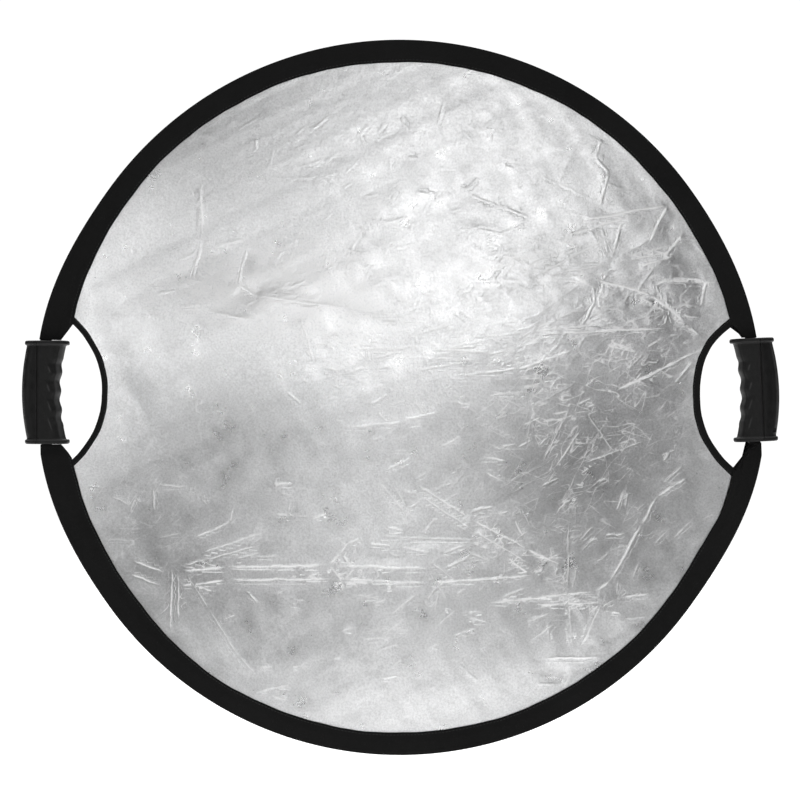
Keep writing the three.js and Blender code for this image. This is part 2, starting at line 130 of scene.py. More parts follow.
def rim_bulge(side, angle):
    """How far the rim stands out beyond its circle, at angles above a side's horizontal."""
    below, above = side["bulge"]
    straight, end = 9.0, 36.0
    size = np.abs(angle)
    share = np.clip((size - straight) / (end - straight), 0, 1)
    eased = np.where(angle > 0, above, below) * np.cos(share * np.pi / 2) ** 2
    a = math.radians(straight)
    low = (RIM_RADIUS + below) * np.array([math.cos(a), -math.sin(a)])
    high = (RIM_RADIUS + above) * np.array([math.cos(a), math.sin(a)])
    chord = high - low
    ray = np.cos(np.radians(angle)), np.sin(np.radians(angle))
    reach = (low[0] * chord[1] - low[1] * chord[0]) / (ray[0] * chord[1] - ray[1] * chord[0])
    return np.where(size > straight, eased, reach - RIM_RADIUS)


def swell(points, start=SWELL_START):
    """Moves the points beyond a radius outwards beside the grips, where the hoop is straight."""
    x, z = points[:, 0], points[:, 2]
    radius = np.maximum(np.hypot(x, z), 1e-6)
    angle = np.degrees(np.arctan2(z, np.abs(x)))
    angle = np.clip(angle, -89, 89)
    out = np.where(x < 0, rim_bulge(SIDES["left"], angle), rim_bulge(SIDES["right"], angle))
    scale = 1 + out * np.clip((radius - start) / (SWELL_FULL - start), 0, 1) / radius
    return np.column_stack([x * scale, points[:, 1], z * scale])


def on_disc(radius, y, angle):
    """Points at a radius, a depth and an angle in degrees from +X towards +Z, any shapes."""
    radius, y, angle = np.broadcast_arrays(radius, y, np.radians(angle))
    return np.stack([radius * np.cos(angle), y, radius * np.sin(angle)], axis=-1)


# --- Meshes and pieces ---

def grid_faces(rows, columns, closed_rows=False, closed_columns=False):
    """Quads of a grid whose vertex number is row * columns + column."""
    i = np.arange(rows if closed_rows else rows - 1)
    j = np.arange(columns if closed_columns else columns - 1)
    i, j = (a.ravel() for a in np.meshgrid(i, j, indexing="ij"))
    i2, j2 = (i + 1) % rows, (j + 1) % columns
    quads = [i * columns + j, i * columns + j2, i2 * columns + j2, i2 * columns + j]
    return np.stack(quads, axis=1).tolist()


def sweep(sections, closed=False):
    """Points and faces of a closed section carried through rows: sections is rows x k x 3."""
    rows, columns = sections.shape[:2]
    faces = grid_faces(rows, columns, closed_rows=closed, closed_columns=True)
    if not closed:
        faces.append(list(range(columns)))
        faces.append(list(range((rows - 1) * columns, rows * columns)))
    return sections.reshape(-1, 3), faces


def there_and_back(places, first, then):
    """The places with first beside them, and then in reverse with then beside them."""
    return [(*place, first) for place in places] + [(*place, then) for place in places[::-1]]


def round_disc(columns, closed=False, start=SWELL_START):
    """The surface that columns of points round the disc make, moved out beside the grips."""
    points, faces = sweep(np.stack(columns, axis=1), closed)
    return swell(points, start), faces


def mesh_of(points, faces):
    """A mesh from points in millimetres."""
    mesh = bpy.data.meshes.new("piece")
    mesh.from_pydata((np.asarray(points) * MM).tolist(), [], faces)
    return mesh


def rework(mesh, *steps):
    """The mesh after each step has changed it, with all its faces turned outwards."""
    edit = bmesh.new()
    edit.from_mesh(mesh)
    for step in steps:
        step(edit)
    bmesh.ops.recalc_face_normals(edit, faces=edit.faces)
    edit.to_mesh(mesh)
    edit.free()
    return mesh


def shade(mesh, sharp):
    """The mesh shaded smooth, but for the edges that turn more than an angle in degrees."""
    mesh.shade_smooth()
    mesh.set_sharp_from_angle(angle=math.radians(sharp))
    return mesh


def add_object(name, data):
    made = bpy.data.objects.new(name, data)
    bpy.context.scene.collection.objects.link(made)
    return made


def set_piece(name, mesh, body, slot, material, *nodes):
    """A mesh as a piece that rides on a body and stands for the named CAD nodes."""
    mesh.materials.clear()
    mesh.materials.append(material)
    piece = add_object(name, mesh)
    if body == FOLDED:
        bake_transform(piece)
    else:
        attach(piece, body)
    if nodes:
        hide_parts(*nodes)
    return piece


def new_piece(name, surface, body, slot, material, *nodes, sharp=50, recalc=True):
    """A piece from a surface: points in millimetres and faces."""
    mesh = mesh_of(*surface)
    if recalc:
        rework(mesh)
    return set_piece(name, shade(mesh, sharp), body, slot, material, *nodes)


def set_attribute(piece, name, values):
    attribute = piece.data.attributes.new(name, "FLOAT", "POINT")
    attribute.data.foreach_set("value", np.asarray(values, np.float32))


# --- Materials ---

class Tree:
    """A few shorthands for building a node tree."""

    def __init__(self, tree):
        self.tree = tree

    def add(self, kind, inputs=(), **settings):
        node = self.tree.nodes.new(kind)
        for key, value in settings.items():
            setattr(node, key, value)
        return self.fill(node, dict(inputs))

    def fill(self, node, inputs):
        """The node, with sockets linked to some of its inputs and values put in others."""
        for key, value in inputs.items():
            if isinstance(value, bpy.types.NodeSocket):
                self.tree.links.new(value, node.inputs[key])
            else:
                node.inputs[key].default_value = value
        return node

    def spread(self, value, low, high, to_low, to_high, **settings):
        inputs = {"Value": value, "From Min": low, "From Max": high,
                  "To Min": to_low, "To Max": to_high}
        return self.add("ShaderNodeMapRange", inputs, **settings).outputs["Result"]


class Nodes(Tree):
    """One material and the parts that its node tree is built from."""

    def __init__(self, name):
        self.material = bpy.data.materials.new(name)
        self.material.use_nodes = True
        super().__init__(self.material.node_tree)
        self.shader = self.tree.nodes["Principled BSDF"]
        self.position = self.add("ShaderNodeTexCoord").outputs["Object"]

    def field(self, name):
        """A mesh attribute."""
        return self.add("ShaderNodeAttribute", attribute_name=name).outputs["Fac"]

    def math(self, operation, a, b=0.0):
        return self.add("ShaderNodeMath", {0: a, 1: b}, operation=operation).outputs[0]

    def times(self, a, b):
        return self.math("MULTIPLY", a, b)

    def noise(self, scale, detail, roughness=0.55, vector=None, distortion=0.0):
        """Perlin noise whose features are about 1/scale metres wide."""
        inputs = {"Vector": vector or self.position, "Scale": scale, "Detail": detail,
                  "Roughness": roughness, "Distortion": distortion}
        return self.add("ShaderNodeTexNoise", inputs).outputs["Fac"]

    def mix(self, share, a, b):
        node = self.add("ShaderNodeMix", {"Factor": share, "A": a, "B": b}, data_type="RGBA")
        return node.outputs["Result"]

    def bump(self, height, distance, **before):
        """A bumped normal; before may give the Normal that it starts from."""
        inputs = {"Height": height, "Distance": distance, **before}
        return self.add("ShaderNodeBump", inputs).outputs["Normal"]

    def weave(self, thread):
        """Height of a plain weave in the plane of the disc, 0 to 1, threads that far apart."""
        parts = self.add("ShaderNodeSeparateXYZ", {0: self.position}).outputs
        turns = 2 * math.pi / (2 * thread)
        across = self.math("SINE", self.times(parts["X"], turns))
        along = self.math("SINE", self.times(parts["Z"], turns))
        return self.spread(self.times(across, along), -1, 1, 0, 1)

    def strands(self, scale, turn):
        """Thin long lines that run at an angle in degrees: contours of a stretched noise."""
        stretch, half_width = (0.22, 1, 1), 0.008
        mapping = self.add("ShaderNodeMapping", {"Vector": self.position})
        mapping.inputs["Rotation"].default_value = (0, math.radians(turn), 0)
        stretched = self.add("ShaderNodeVectorMath", {0: mapping.outputs[0], 1: stretch},
                             operation="MULTIPLY").outputs[0]
        level = self.noise(scale, 3, 0.5, stretched)
        from_contour = self.math("ABSOLUTE", self.math("SUBTRACT", level, 0.5))
        return self.spread(from_contour, 0, half_width, 1, 0)

    def finish(self, color, roughness, inputs):
        """The material, with the shader's remaining inputs filled."""
        self.fill(self.shader, {"Base Color": color, "Roughness": roughness, **inputs})
        return self.material


def grey(value):
    """A grey, at most white."""
    return (min(1, value),) * 3 + (1.0,)


def cloth_material(name, dark, light, thread, depth, roughness, specular, sheen):
    """Woven tape: a plain weave under a slow change of tone, with a little lint."""
    n = Nodes(name)
    tone = n.noise(9, 3)
    lint = n.spread(n.noise(900, 2, 0.7), 0.66, 0.74, 0, 0.5)
    base = n.mix(n.spread(tone, 0.35, 0.65, 0, 1), grey(dark), grey(light))
    normal = n.bump(n.weave(thread), depth)
    return n.finish(n.mix(lint, base, grey(3 * light + 0.012)),
                    n.spread(tone, 0.3, 0.7, roughness - 0.06, roughness + 0.05),
                    {"Normal": n.bump(n.noise(160, 4), 0.00025, Normal=normal),
                     "Specular IOR Level": specular, "Sheen Weight": sheen, "Sheen Roughness": 0.4})


def foil_material(name, tint, crease_wear_and_highlight, roughness):
    """Metallised cloth: fine grain, and a net of small crinkles and sharp creases painted pale, partly
    as worn foil and partly as painted highlight.

    The mesh's attributes say where: crease is the distance to the nearest crease in millimetres,
    crease_depth how strong that crease is, crumple how crinkled the cloth is and tone the painted
    light and shade of the foil, its broad bright and dark patches and its darker edge.
    """
    n = Nodes(name)
    wobble = n.spread(n.noise(42, 5, 0.6), 0.2, 0.8, -1.6, 1.6)
    distance = n.math("ABSOLUTE", n.math("ADD", n.field("crease"), wobble))
    broken = n.spread(n.noise(60, 4, 0.7), 0.3, 0.52, 0.4, 1)
    depth = n.times(n.field("crease_depth"), broken)
    line = n.math("SUBTRACT", n.times(depth, 1.35), n.times(distance, 0.85))
    ridge = n.times(n.spread(distance, 0, 2.2, 1, 0), depth)
    net = n.strands(26, 12)
    for scale, turn in ((30, -24), (24, 62), (34, 38)):
        net = n.math("MAXIMUM", net, n.strands(scale, turn))
    net = n.times(net, n.field("crumple"))
    net = n.times(net, n.spread(n.noise(55, 4, 0.7), 0.42, 0.56, 0, 0.9))
    line = n.math("MAXIMUM", n.spread(line, 0, 1, 0, 0.8), net)
    grain = n.noise(430, 4, 0.7)
    blotch = n.noise(34, 5, 0.62)
    # the painted light and shade in tone, under a random grain and random blotches
    tone = n.times(n.field("tone"), n.spread(grain, 0.3, 0.7, 0.8, 1.14))
    tone = n.times(tone, n.spread(blotch, 0.3, 0.7, 0.965, 1.03))
    foil = n.add("ShaderNodeVectorMath", {0: tint, "Scale": tone}, operation="SCALE").outputs[0]
    normal = n.bump(grain, 0.00006)
    normal = n.bump(n.noise(110, 4, 0.6), 0.0002, Normal=normal)
    # creases and crinkles are painted pale and less metallic: partly worn, crazed foil, partly painted
    # highlight where they would catch the light
    return n.finish(n.mix(line, foil, crease_wear_and_highlight),
                    n.spread(blotch, 0.3, 0.7, roughness - 0.05, roughness + 0.06),
                    {"Metallic": n.spread(line, 0, 1, 1.0, 0.05),
                     "Normal": n.bump(ridge, 0.0002, Normal=normal)})


def plain_metal(name, shade_of_grey, roughness, scratch):
    """Bright metal with brush marks, paler where it's worn."""
    n = Nodes(name)
    wear = n.spread(n.noise(700, 4, 0.7), 0.4, 0.7, 0, 1)
    brushed = n.noise(260, 5, 0.6, distortion=0.6)
    return n.finish(n.mix(wear, grey(shade_of_grey), grey(1.35 * shade_of_grey)),
                    n.spread(brushed, 0.3, 0.7, roughness - 0.08, roughness + 0.1),
                    {"Metallic": 1.0, "Normal": n.bump(brushed, scratch)})


def moulded_material(name, dark, light, roughness, texture, specular):
    """Moulded grip plastic: a fine pebbled texture, paler worn patches and painted highlights on its
    edges, ribs and flange lips.
    """
    n = Nodes(name)
    pebble = n.add("ShaderNodeTexVoronoi", {"Vector": n.position, "Scale": 1100.0})
    mottle = n.noise(120, 4, 0.6)
    scuff = n.spread(n.noise(420, 5, 0.75), 0.56, 0.7, 0, 0.55)
    color = n.mix(n.spread(mottle, 0.35, 0.65, 0, 1), grey(dark), grey(light))
    color = n.mix(scuff, color, grey(2 * light + 0.006))
    # painted highlight: the grip's edges, ribs and flange lips are painted paler
    highlight_here = n.times(n.field("painted_highlight"), n.spread(mottle, 0.3, 0.7, 0.5, 1))
    normal = n.bump(pebble.outputs["Distance"], texture)
    return n.finish(n.mix(highlight_here, color, grey(0.045)),
                    n.spread(mottle, 0.3, 0.7, roughness - 0.06, roughness + 0.08),
                    {"Normal": n.bump(n.noise(90, 3), 0.0006, Normal=normal),
                     "Specular IOR Level": specular})


def nylon_material():
    n = Nodes("zip_teeth_nylon")
    tone = n.noise(500, 3)
    return n.finish(n.mix(tone, grey(0.006), grey(0.016)), n.spread(tone, 0.3, 0.7, 0.3, 0.45),
                    {"Normal": n.bump(n.noise(1500, 2), 0.00004), "Specular IOR Level": 0.45})


def floor_material():
    n = Nodes("studio_floor")
    tone = n.noise(2.0, 2)
    return n.finish(n.mix(tone, grey(0.86), grey(0.9)), 0.8, {
        "Specular IOR Level": 0.2, "Emission Color": grey(1.0), "Emission Strength": 0.35})


RIM_CLOTH = cloth_material("rim_cloth", dark=0.0045, light=0.0075, thread=0.00042,
                           depth=0.00010, roughness=0.74, specular=0.12, sheen=0.04)
SLEEVE_CLOTH = cloth_material("sleeve_cloth", dark=0.006, light=0.010, thread=0.00048,
                              depth=0.00012, roughness=0.8, specular=0.12, sheen=0.04)
DIFFUSER_CLOTH = cloth_material("diffuser_cloth", dark=0.80, light=0.86, thread=0.0004,
                                depth=0.00006, roughness=0.7, specular=0.3, sheen=0.1)
THREAD = cloth_material("thread", dark=0.012, light=0.022, thread=0.00025,
                        depth=0.00006, roughness=0.55, specular=0.35, sheen=0.1)
ZIP_TAPE = cloth_material("zip_tape", dark=0.006, light=0.011, thread=0.00035,
                          depth=0.00012, roughness=0.7, specular=0.2, sheen=0.05)
SILVER = foil_material("silver_foil", (0.93, 0.935, 0.94), grey(1.0), roughness=0.31)
GOLD = foil_material("gold_foil", (0.83, 0.60, 0.22), (0.80, 0.63, 0.33, 1), roughness=0.42)
STEEL = plain_metal("spring_steel", 0.34, roughness=0.36, scratch=0.00005)
DARK_METAL = plain_metal("zip_metal", 0.17, roughness=0.34, scratch=0.00004)
SCREW_STEEL = plain_metal("screw_steel", 0.26, roughness=0.32, scratch=0.00003)
NYLON = nylon_material()
GRIP_PLASTIC = moulded_material("grip_plastic", dark=0.0035, light=0.006, roughness=0.44,
                                texture=0.00004, specular=0.22)
GRIP_RUBBER = moulded_material("grip_rubber", dark=0.0042, light=0.007, roughness=0.46,
                               texture=0.00005, specular=0.24)


# --- The panels ---

# Broad swells of the loose cloth: centre x, z, half widths, height towards the front.
SWELLS = [
    (-20, 130, 190, 110, 4.0),
    (-150, 10, 110, 70, 4.0),
    (150, 60, 100, 80, 7.0),
    (-215, 180, 90, 60, -4.5),
    (20, -250, 190, 80, 2.4),
    (-240, -230, 110, 90, -5.0),
    (60, -110, 90, 50, -1.2),
    (250, -190, 80, 90, 1.8),
]

# Painted light and shade: bright and dark patches painted into the foil's colour in place of its broad
# reflections: centre x, z, half widths, change.
PAINTED_LIGHT_PATCHES = [
    (-235, 270, 75, 60, -0.30),
    (-165, 128, 90, 50, 0.17),
    (-30, 15, 70, 60, 0.10),
    (200, -60, 60, 40, -0.08),
    (-190, -20, 90, 60, -0.20),
    (200, -105, 90, 80, -0.46),
    (270, 20, 50, 60, -0.12),
    (-290, -210, 85, 90, -0.44),
    (0, -225, 260, 45, -0.12),
]

# How crinkled the silver foil is, which sets where its pale crinkle lines show, partly worn foil and
# partly painted highlight: centre x, z, half widths, share.
CRUMPLES = [
    (215, 90, 95, 90, 1.0),
    (200, -90, 90, 80, 0.4),
    (40, 100, 110, 70, 0.45),
    (-60, 230, 160, 90, 0.3),
    (-290, -100, 60, 60, 0.35),
]

# The gold cloth's own swells, away from the panel: centre x, z, half widths, height.
GOLD_SWELLS = [(-160, 120, 120, 90, 2.2), (140, 60, 130, 100, 1.8), (0, -60, 200, 40, 1.4)]

# Fine ripples of the cloths: shares of x and z along them, (wavelength, height) pairs, seed.
SILVER_RIPPLES = [
    (1, 0.6, [(47, 0.06), (31, 0.03), (23, 0.02)], 3),
    (-0.5, 1, [(53, 0.06), (37, 0.03), (19, 0.015)], 4),
]
GOLD_RIPPLES = [
    (1, -0.4, [(49, 0.10), (29, 0.07), (21, 0.05)], 5),
    (0.3, 1, [(57, 0.10), (35, 0.07), (19, 0.04)], 6),
]

# The long creases left by folding: strength, then the points that each one runs through.
CREASES = [
    (1.0, [(-243, -195), (-195, -190), (-79, -188), (34, -192)]),
    (1.0, [(-246, -211), (-195, -205), (-73, -203), (34, -208), (152, -199)]),
    (1.0, [(-79, -188), (-66, -176), (-50, -191), (-64, -206), (-79, -188)]),
    (0.9, [(-66, -176), (-58, -164), (-44, -158)]),
    (0.8, [(-50, -191), (-30, -190), (-22, -199), (-34, -208), (-64, -206)]),
    (0.7, [(-224, -175), (-148, -150)]),
    (0.7, [(-248, -190), (-153, -164)]),
    (0.8, [(-230, -157), (-190, -140), (-187, -124)]),
    (0.9, [(-255, -190), (-256, -264)]),
    (0.8, [(-249, -196), (-247, -250)]),
    (0.8, [(-264, -196), (-298, -183)]),
    (0.9, [(-267, -211), (-301, -198)]),
    (0.6, [(-238, -199), (-214, -237), (-180, -290), (-161, -309)]),
    (0.4, [(-330, -160), (-290, -160)]),
    (0.6, [(-66, -34), (34, -26)]),
    (0.8, [(-26, -92), (16, -140)]),
    (0.8, [(-5, -100), (7, -124), (20, -142)]),
    (1.0, [(18, -97), (81, -137), (142, -169), (179, -187)]),
    (0.8, [(26, -112), (84, -150), (150, -188)]),
    (0.5, [(-22, -156), (84, -160)]),
    (1.0, [(97, -230), (221, -216), (234, -207), (271, -142), (287, -111), (322, -89)]),
    (0.9, [(147, -231), (226, -230)]),
    (0.7, [(189, -140), (188, -219), (193, -280)]),
    (0.8, [(226, -230), (203, -277)]),
    (0.8, [(163, -292), (218, -290)]),
    (0.7, [(193, -302), (184, -325)]),
    (0.8, [(174, -79), (203, -34)]),
    (0.7, [(205, -74), (274, -48)]),
    (0.8, [(226, 289), (218, 268), (234, 252), (224, 213)]),
    (1.4, [(205, 198), (300, 215)]),
    (1.3, [(300, 215), (279, 173)]),
    (1.1, [(147, 133), (232, 178)]),
    (1.6, [(218, 133), (282, 114), (319, 86)]),
    (1.2, [(298, 131), (356, 128)]),
    (1.1, [(343, 131), (337, 102)]),
    (1.2, [(152, 70), (300, 78)]),
    (1.4, [(240, 6), (332, 51)]),
    (1.0, [(216, 123), (218, 107), (203, 80)]),
    (0.8, [(-222, 242), (-222, 176), (-231, 133)]),
    (0.7, [(-171, 168), (-180, 126), (-156, 112)]),
    (0.6, [(-164, 115), (34, 86)]),
    (0.7, [(-111, 88), (-95, 38)]),
    (1.2, [(185, 181), (258, 202)]),
    (1.1, [(269, 146), (306, 157)]),
    (1.1, [(288, 146), (317, 183)]),
    (1.2, [(283, 125), (306, 134), (340, 131)]),
    (1.0, [(40, 53), (99, 50)]),
    (0.9, [(22, 30), (75, 39)]),
    (1.1, [(149, 73), (213, 81)]),
    (0.9, [(131, 30), (194, 53)]),
    (0.8, [(99, 2), (140, 6)]),
    (0.8, [(0, -26), (45, -17)]),
]

# Junctions that rays of short creases leave: x, z, spread, number.
STARS = [(-250, -205, 50, 3), (-62, -196, 30, 8), (118, -176, 40, 14), (190, -222, 40, 10),
         (236, 150, 70, 12), (300, 95, 50, 10), (-100, 60, 40, 6)]

# Short creases of the silver and the gold cloth, as scattered() takes them.
SILVER_SCATTER = [
    (90, (205, 105), (85, 70), (18, 80), 0.3, (0.3, 0.8), 0.10),
    (40, (205, 60), (80, 70), (18, 60), 2.7, (0.25, 0.65), 0.07),
    (80, (215, -60), (80, 70), (6, 30), 0.6, (0.3, 0.9), 0.06),
    (110, (0, 250), (140, 70), (8, 30), 0.9, (0.1, 0.5), 0.05),
    (70, (30, 90), (110, 60), (15, 60), 0.1, (0.2, 0.6), 0.07),
    (130, (60, -200), (190, 60), (8, 40), 0.2, (0.3, 0.9), 0.04),
    (330, (0, 0), (240, 240), (4, 26), None, (0.2, 0.8), 0.03),
]
GOLD_SCATTER = [
    (60, (0, 60), (200, 150), (40, 150), 0.2, (0.3, 0.9), 0.3),
    (240, (0, 0), (230, 230), (8, 45), None, (0.2, 0.8), 0.2),
]

CREASE_REACH = 4.5  # how far from a crease its distance is kept
OWN_GROUND = 3.2  # how near a crease no later group may take the ground
TALLEST, DEEPEST = 0.9, -0.6  # how far creases may lift or sink the cloth
EASING = 0.3  # of creases into the panel's flat edge, as a share of its slack


def soft_spots(x, z, spots):
    """The sum of bell-shaped spots at each point."""
    total = np.zeros_like(x)
    for cx, cz, wide, high, size in spots:
        total += size * np.exp(-0.5 * (((x - cx) / wide) ** 2 + ((z - cz) / high) ** 2))
    return total


def slack(x, z):
    """How freely the cloth may move off its plane: 0 at the rim and the hand openings."""
    free = smooth(0, 60, PANEL_RADIUS - np.hypot(x, z))
    for side in SIDES.values():
        ox, oz = side["opening"]
        free = free * smooth(0, 70, np.hypot(x - ox, z - oz) - OPENING_RADIUS)
    return free


def undulation(x, z):
    """The broad swells that all three panels share, in millimetres towards the front."""
    return soft_spots(x, z, SWELLS) * slack(x, z)


def random_crease(centre, length, lean):
    """A short straight crease, as its two ends. Without a lean it runs any way."""
    angle = rng.uniform(0, np.pi) if lean is None else rng.normal(lean, 0.45)
    half = 0.5 * length * np.array([math.cos(angle), math.sin(angle)])
    return [centre - half, centre + half]


def scattered(count, centre, spread, lengths, lean, strengths, height):
    """Short creases round a centre, as (strength, flank, height, end, end)."""
    return [
        (rng.uniform(*strengths), rng.uniform(4, 14), rng.normal(0, height),
         *random_crease(rng.normal(centre, spread), rng.uniform(*lengths), lean))
        for _ in range(count)
    ]


def silver_creases():
    """The front panel's long creases and its short ones, as scattered() gives them."""
    long, short = [], []
    for strength, points in CREASES:
        side = rng.choice([-1, 1])
        for a, b in zip(points, points[1:]):
            long.append((strength, rng.uniform(9, 20), side * rng.uniform(0.2, 0.4), a, b))
    for x, z, spread, count in STARS:
        for _ in range(count):
            angle = rng.uniform(0, 2 * np.pi)
            near, far = rng.uniform(0.02, 0.25) * spread, rng.uniform(0.4, 1.1) * spread
            way = np.array([math.cos(angle), 0.8 * math.sin(angle)])
            ends = [np.array([x, z]) + reach * way for reach in (near, far)]
            short.append((rng.uniform(0.4, 1), rng.uniform(5, 12), rng.normal(0, 0.12), *ends))
    for group in SILVER_SCATTER:
        short += scattered(*group)
    return long, short


def gold_creases():
    """The back panel's creases, all of them in one group."""
    return ([crease for group in GOLD_SCATTER for crease in scattered(*group)],)


def crease_fields(x, z, groups):
    """Height from the creases' flanks, signed distance to the nearest one and its strength.

    The ground close to a crease stays its own, whatever a later group has there.
    """
    height, nearest, depth = np.zeros_like(x), np.full_like(x, CREASE_REACH), np.zeros_like(x)
    for group in groups:
        taken = np.abs(nearest) < OWN_GROUND
        for strength, flank, rise, a, b in group:
            a, b = np.array(a), np.array(b)
            length = max(np.hypot(*(b - a)), 1e-6)
            way = (b - a) / length
            reach = max(flank, CREASE_REACH)
            low, high = np.minimum(a, b) - reach, np.maximum(a, b) + reach
            near = np.flatnonzero((x > low[0]) & (x < high[0]) & (z > low[1]) & (z < high[1]))
            dx, dz = x[near] - a[0], z[near] - a[1]
            along = (dx * way[0] + dz * way[1]) / length
            off = dz * way[0] - dx * way[1]
            inside = (along > 0) & (along < 1)
            taper = np.where(inside, np.clip(8 * along * (1 - along), 0, 1), 0)
            height[near] += rise * taper * np.clip(1 - np.abs(off) / flank, 0, 1)
            closer = inside & ~taken[near] & (np.abs(off) < np.abs(nearest[near]))
            nearest[near[closer]] = off[closer]
            depth[near[closer]] = (strength * taper)[closer]
    return np.maximum(TALLEST * np.tanh(height / TALLEST), DEEPEST), nearest, depth


def opening_edge(side, z):
    """How far from the disc's middle the panel's edge is at one hand opening, at heights z."""
    ox, oz = side["opening"]
    round_edge = OPENING_RADIUS + PANEL_MARGIN
    angle = np.degrees(np.arcsin(np.clip((z - oz) / round_edge, -1, 1)))
    radius = round_edge + kink(side, angle)
    return abs(ox) - np.sqrt(np.maximum(radius ** 2 - (z - oz) ** 2, 0))


def kink(side, angle):
    """The bend in a binding that was pulled out of round, at angles above the horizontal."""
    peak, end = 32.7, 50
    falling = (angle > peak) * np.clip((end - angle) / (end - peak), 0, 1)
    return side["kink"] * (smooth(2, peak, angle) * (angle <= peak) + falling)


def panel_points(rows, columns, radius):
    """A grid of x and z over a round panel with both hand openings, before it swells."""
    s = np.linspace(-1, 1, rows)
    z = radius * (0.8 * s + 0.2 * np.sin(np.pi * s / 2))
    z = np.clip(z, -radius + 0.02, radius - 0.02)
    half = np.sqrt(radius ** 2 - z ** 2)
    left = -np.minimum(half, opening_edge(SIDES["left"], z))
    right = np.minimum(half, opening_edge(SIDES["right"], z))
    x = left[:, None] + (right - left)[:, None] * np.linspace(0, 1, columns)[None, :]
    return x.ravel(), np.repeat(z, columns)


def coarse_steps(count, step):
    """Every step-th index of a row, and always the last."""
    return sorted({*range(0, count, step), count - 1})


def panel_mesh(rows, columns, x, z, y_fine, y_other):
    """A closed thin sheet: a fine face over a coarser one, joined round its edge."""
    step = 6
    fine, other = np.column_stack([x, y_fine, z]), np.column_stack([x, y_other, z])
    grid = np.arange(rows * columns).reshape(rows, columns)
    ring = np.concatenate([grid[0], grid[1:, -1], grid[-1, -2::-1], grid[-2:0:-1, 0]])
    i_kept, j_kept = coarse_steps(rows, step), coarse_steps(columns, step)
    inside = [int(grid[i, j]) for i in i_kept[1:-1] for j in j_kept[1:-1]]
    number = {int(v): len(fine) + k for k, v in enumerate([*ring, *inside])}
    points = np.vstack([fine, other[ring], other[inside]])
    faces = grid_faces(rows, columns)
    for a, b in zip(ring.tolist(), np.roll(ring, -1).tolist()):
        faces.append([a, b, number[b], number[a]])
    for i, i2 in zip(i_kept, i_kept[1:]):
        for j, j2 in zip(j_kept, j_kept[1:]):
            bottom = [grid[i, k] for k in (range(j, j2) if i == 0 else (j,))]
            right = [grid[k, j2] for k in (range(i, i2) if j2 == columns - 1 else (i,))]
            top = [grid[i2, k] for k in (range(j2, j, -1) if i2 == rows - 1 else (j2,))]
            left = [grid[k, j] for k in (range(i2, i, -1) if j == 0 else (i2,))]
            faces.append([number[int(v)] for v in bottom + right + top + left])
    return points, faces


def add_foil_panel(name, grid, outward, creases, swells, ripples, crumple, painted_patches, edge_shade, *looks):
    """A creased panel, with the fields that its foil material reads.

    grid is its rows and columns and outward the way it faces along Y. crumple is spots and the least
    value. The number after the patches is painted shade: how much darker the foil is painted at its
    edge, beside the rim.
    """
    x, z = panel_points(*grid, PANEL_RADIUS)
    height, crease, depth = crease_fields(x, z, creases)
    free = slack(x, z)
    fine = sum(ripple(a * x + b * z, pairs, seed) for a, b, pairs, seed in ripples)
    proud = -outward * undulation(x, z) + soft_spots(x, z, swells) * free
    proud += (height + fine) * smooth(0, EASING, free)
    y = outward * (PANEL_SPACING + PANEL_HALF + proud)
    covered = 2 * PANEL_HALF + (height + TALLEST) * smooth(0, EASING, free)
    surface = panel_mesh(*grid, x, z, y, y - outward * covered)
    piece = new_piece(name, surface, *looks, sharp=180)
    spots, least = crumple
    # painted light and shade: the listed bright and dark patches go into the foil's tone
    tone = 1 + soft_spots(x, z, painted_patches)
    # painted shade: the foil is darkened towards its edge, beside the rim
    tone = tone * (1 - edge_shade * smooth(14, 0, PANEL_RADIUS - np.hypot(x, z)))
    rest = len(surface[0]) - len(x)
    for field, values, elsewhere in (
            ("crease", crease, CREASE_REACH), ("crease_depth", depth, 0),
            ("crumple", np.clip(soft_spots(x, z, spots) + least, 0, 1), 0), ("tone", tone, 1)):
        set_attribute(piece, field, np.concatenate([values, np.full(rest, elsewhere)]))


def add_foil_panels():
    """The silver face and the zipped gold one, whose lower part is the flap's."""
    add_foil_panel("silver_front", (294, 300), -1, silver_creases(), [], SILVER_RIPPLES,
                   (CRUMPLES, 0.12), PAINTED_LIGHT_PATCHES, 0.10,
                   "disc", "silver_foil", SILVER, "cover_front_panel")
    add_foil_panel("gold_back", (250, 240), 1, gold_creases(), GOLD_SWELLS, GOLD_RIPPLES,
                   ([], 0.35), [], 0,
                   FOLDED, "gold_foil", GOLD, "cover_back_panel", "flap_panel")


def add_diffuser():
    grid = 120, 120
    x, z = panel_points(*grid, DIFFUSER_RADIUS)
    waves = ripple(x + z, [(90, 0.12), (55, 0.08)], 8)
    y = -PANEL_HALF - undulation(x, z) + waves * slack(x, z)
    piece = new_piece("diffuser_cloth", panel_mesh(*grid, x, z, y, y + 2 * PANEL_HALF), "disc",
                      "diffuser_cloth", DIFFUSER_CLOTH, "diffuser_panel", sharp=180)


# --- The sewn rim ---

def rim_end(name, direction, radius):
    """The angle at which the rim ends beside a grip, at one radius.

    Its end is cut slantwise from the corner of the hand opening to the grip's flange.
    """
    side = SIDES[name]
    ox, oz = side["opening"]
    corner_x, narrow_x = (side[k][direction > 0] for k in ("corner", "narrow"))
    corner_z = oz + direction * math.sqrt(OPENING_RADIUS ** 2 - (corner_x - abs(ox)) ** 2)
    grip_end = side["grip"][1] + direction * (GRIP_HALF_LENGTH + 0.1)
    slope = (grip_end - corner_z) / (narrow_x - corner_x)

    def short(angle):
        x, z = (radius * f(math.radians(angle)) for f in (math.cos, math.sin))
        line = grip_end if x > narrow_x else corner_z + slope * max(0, x - corner_x)
        return z < direction * line

    angle = direction * bisect(30.0, short)
    return angle if side["sign"] > 0 else 180 - angle


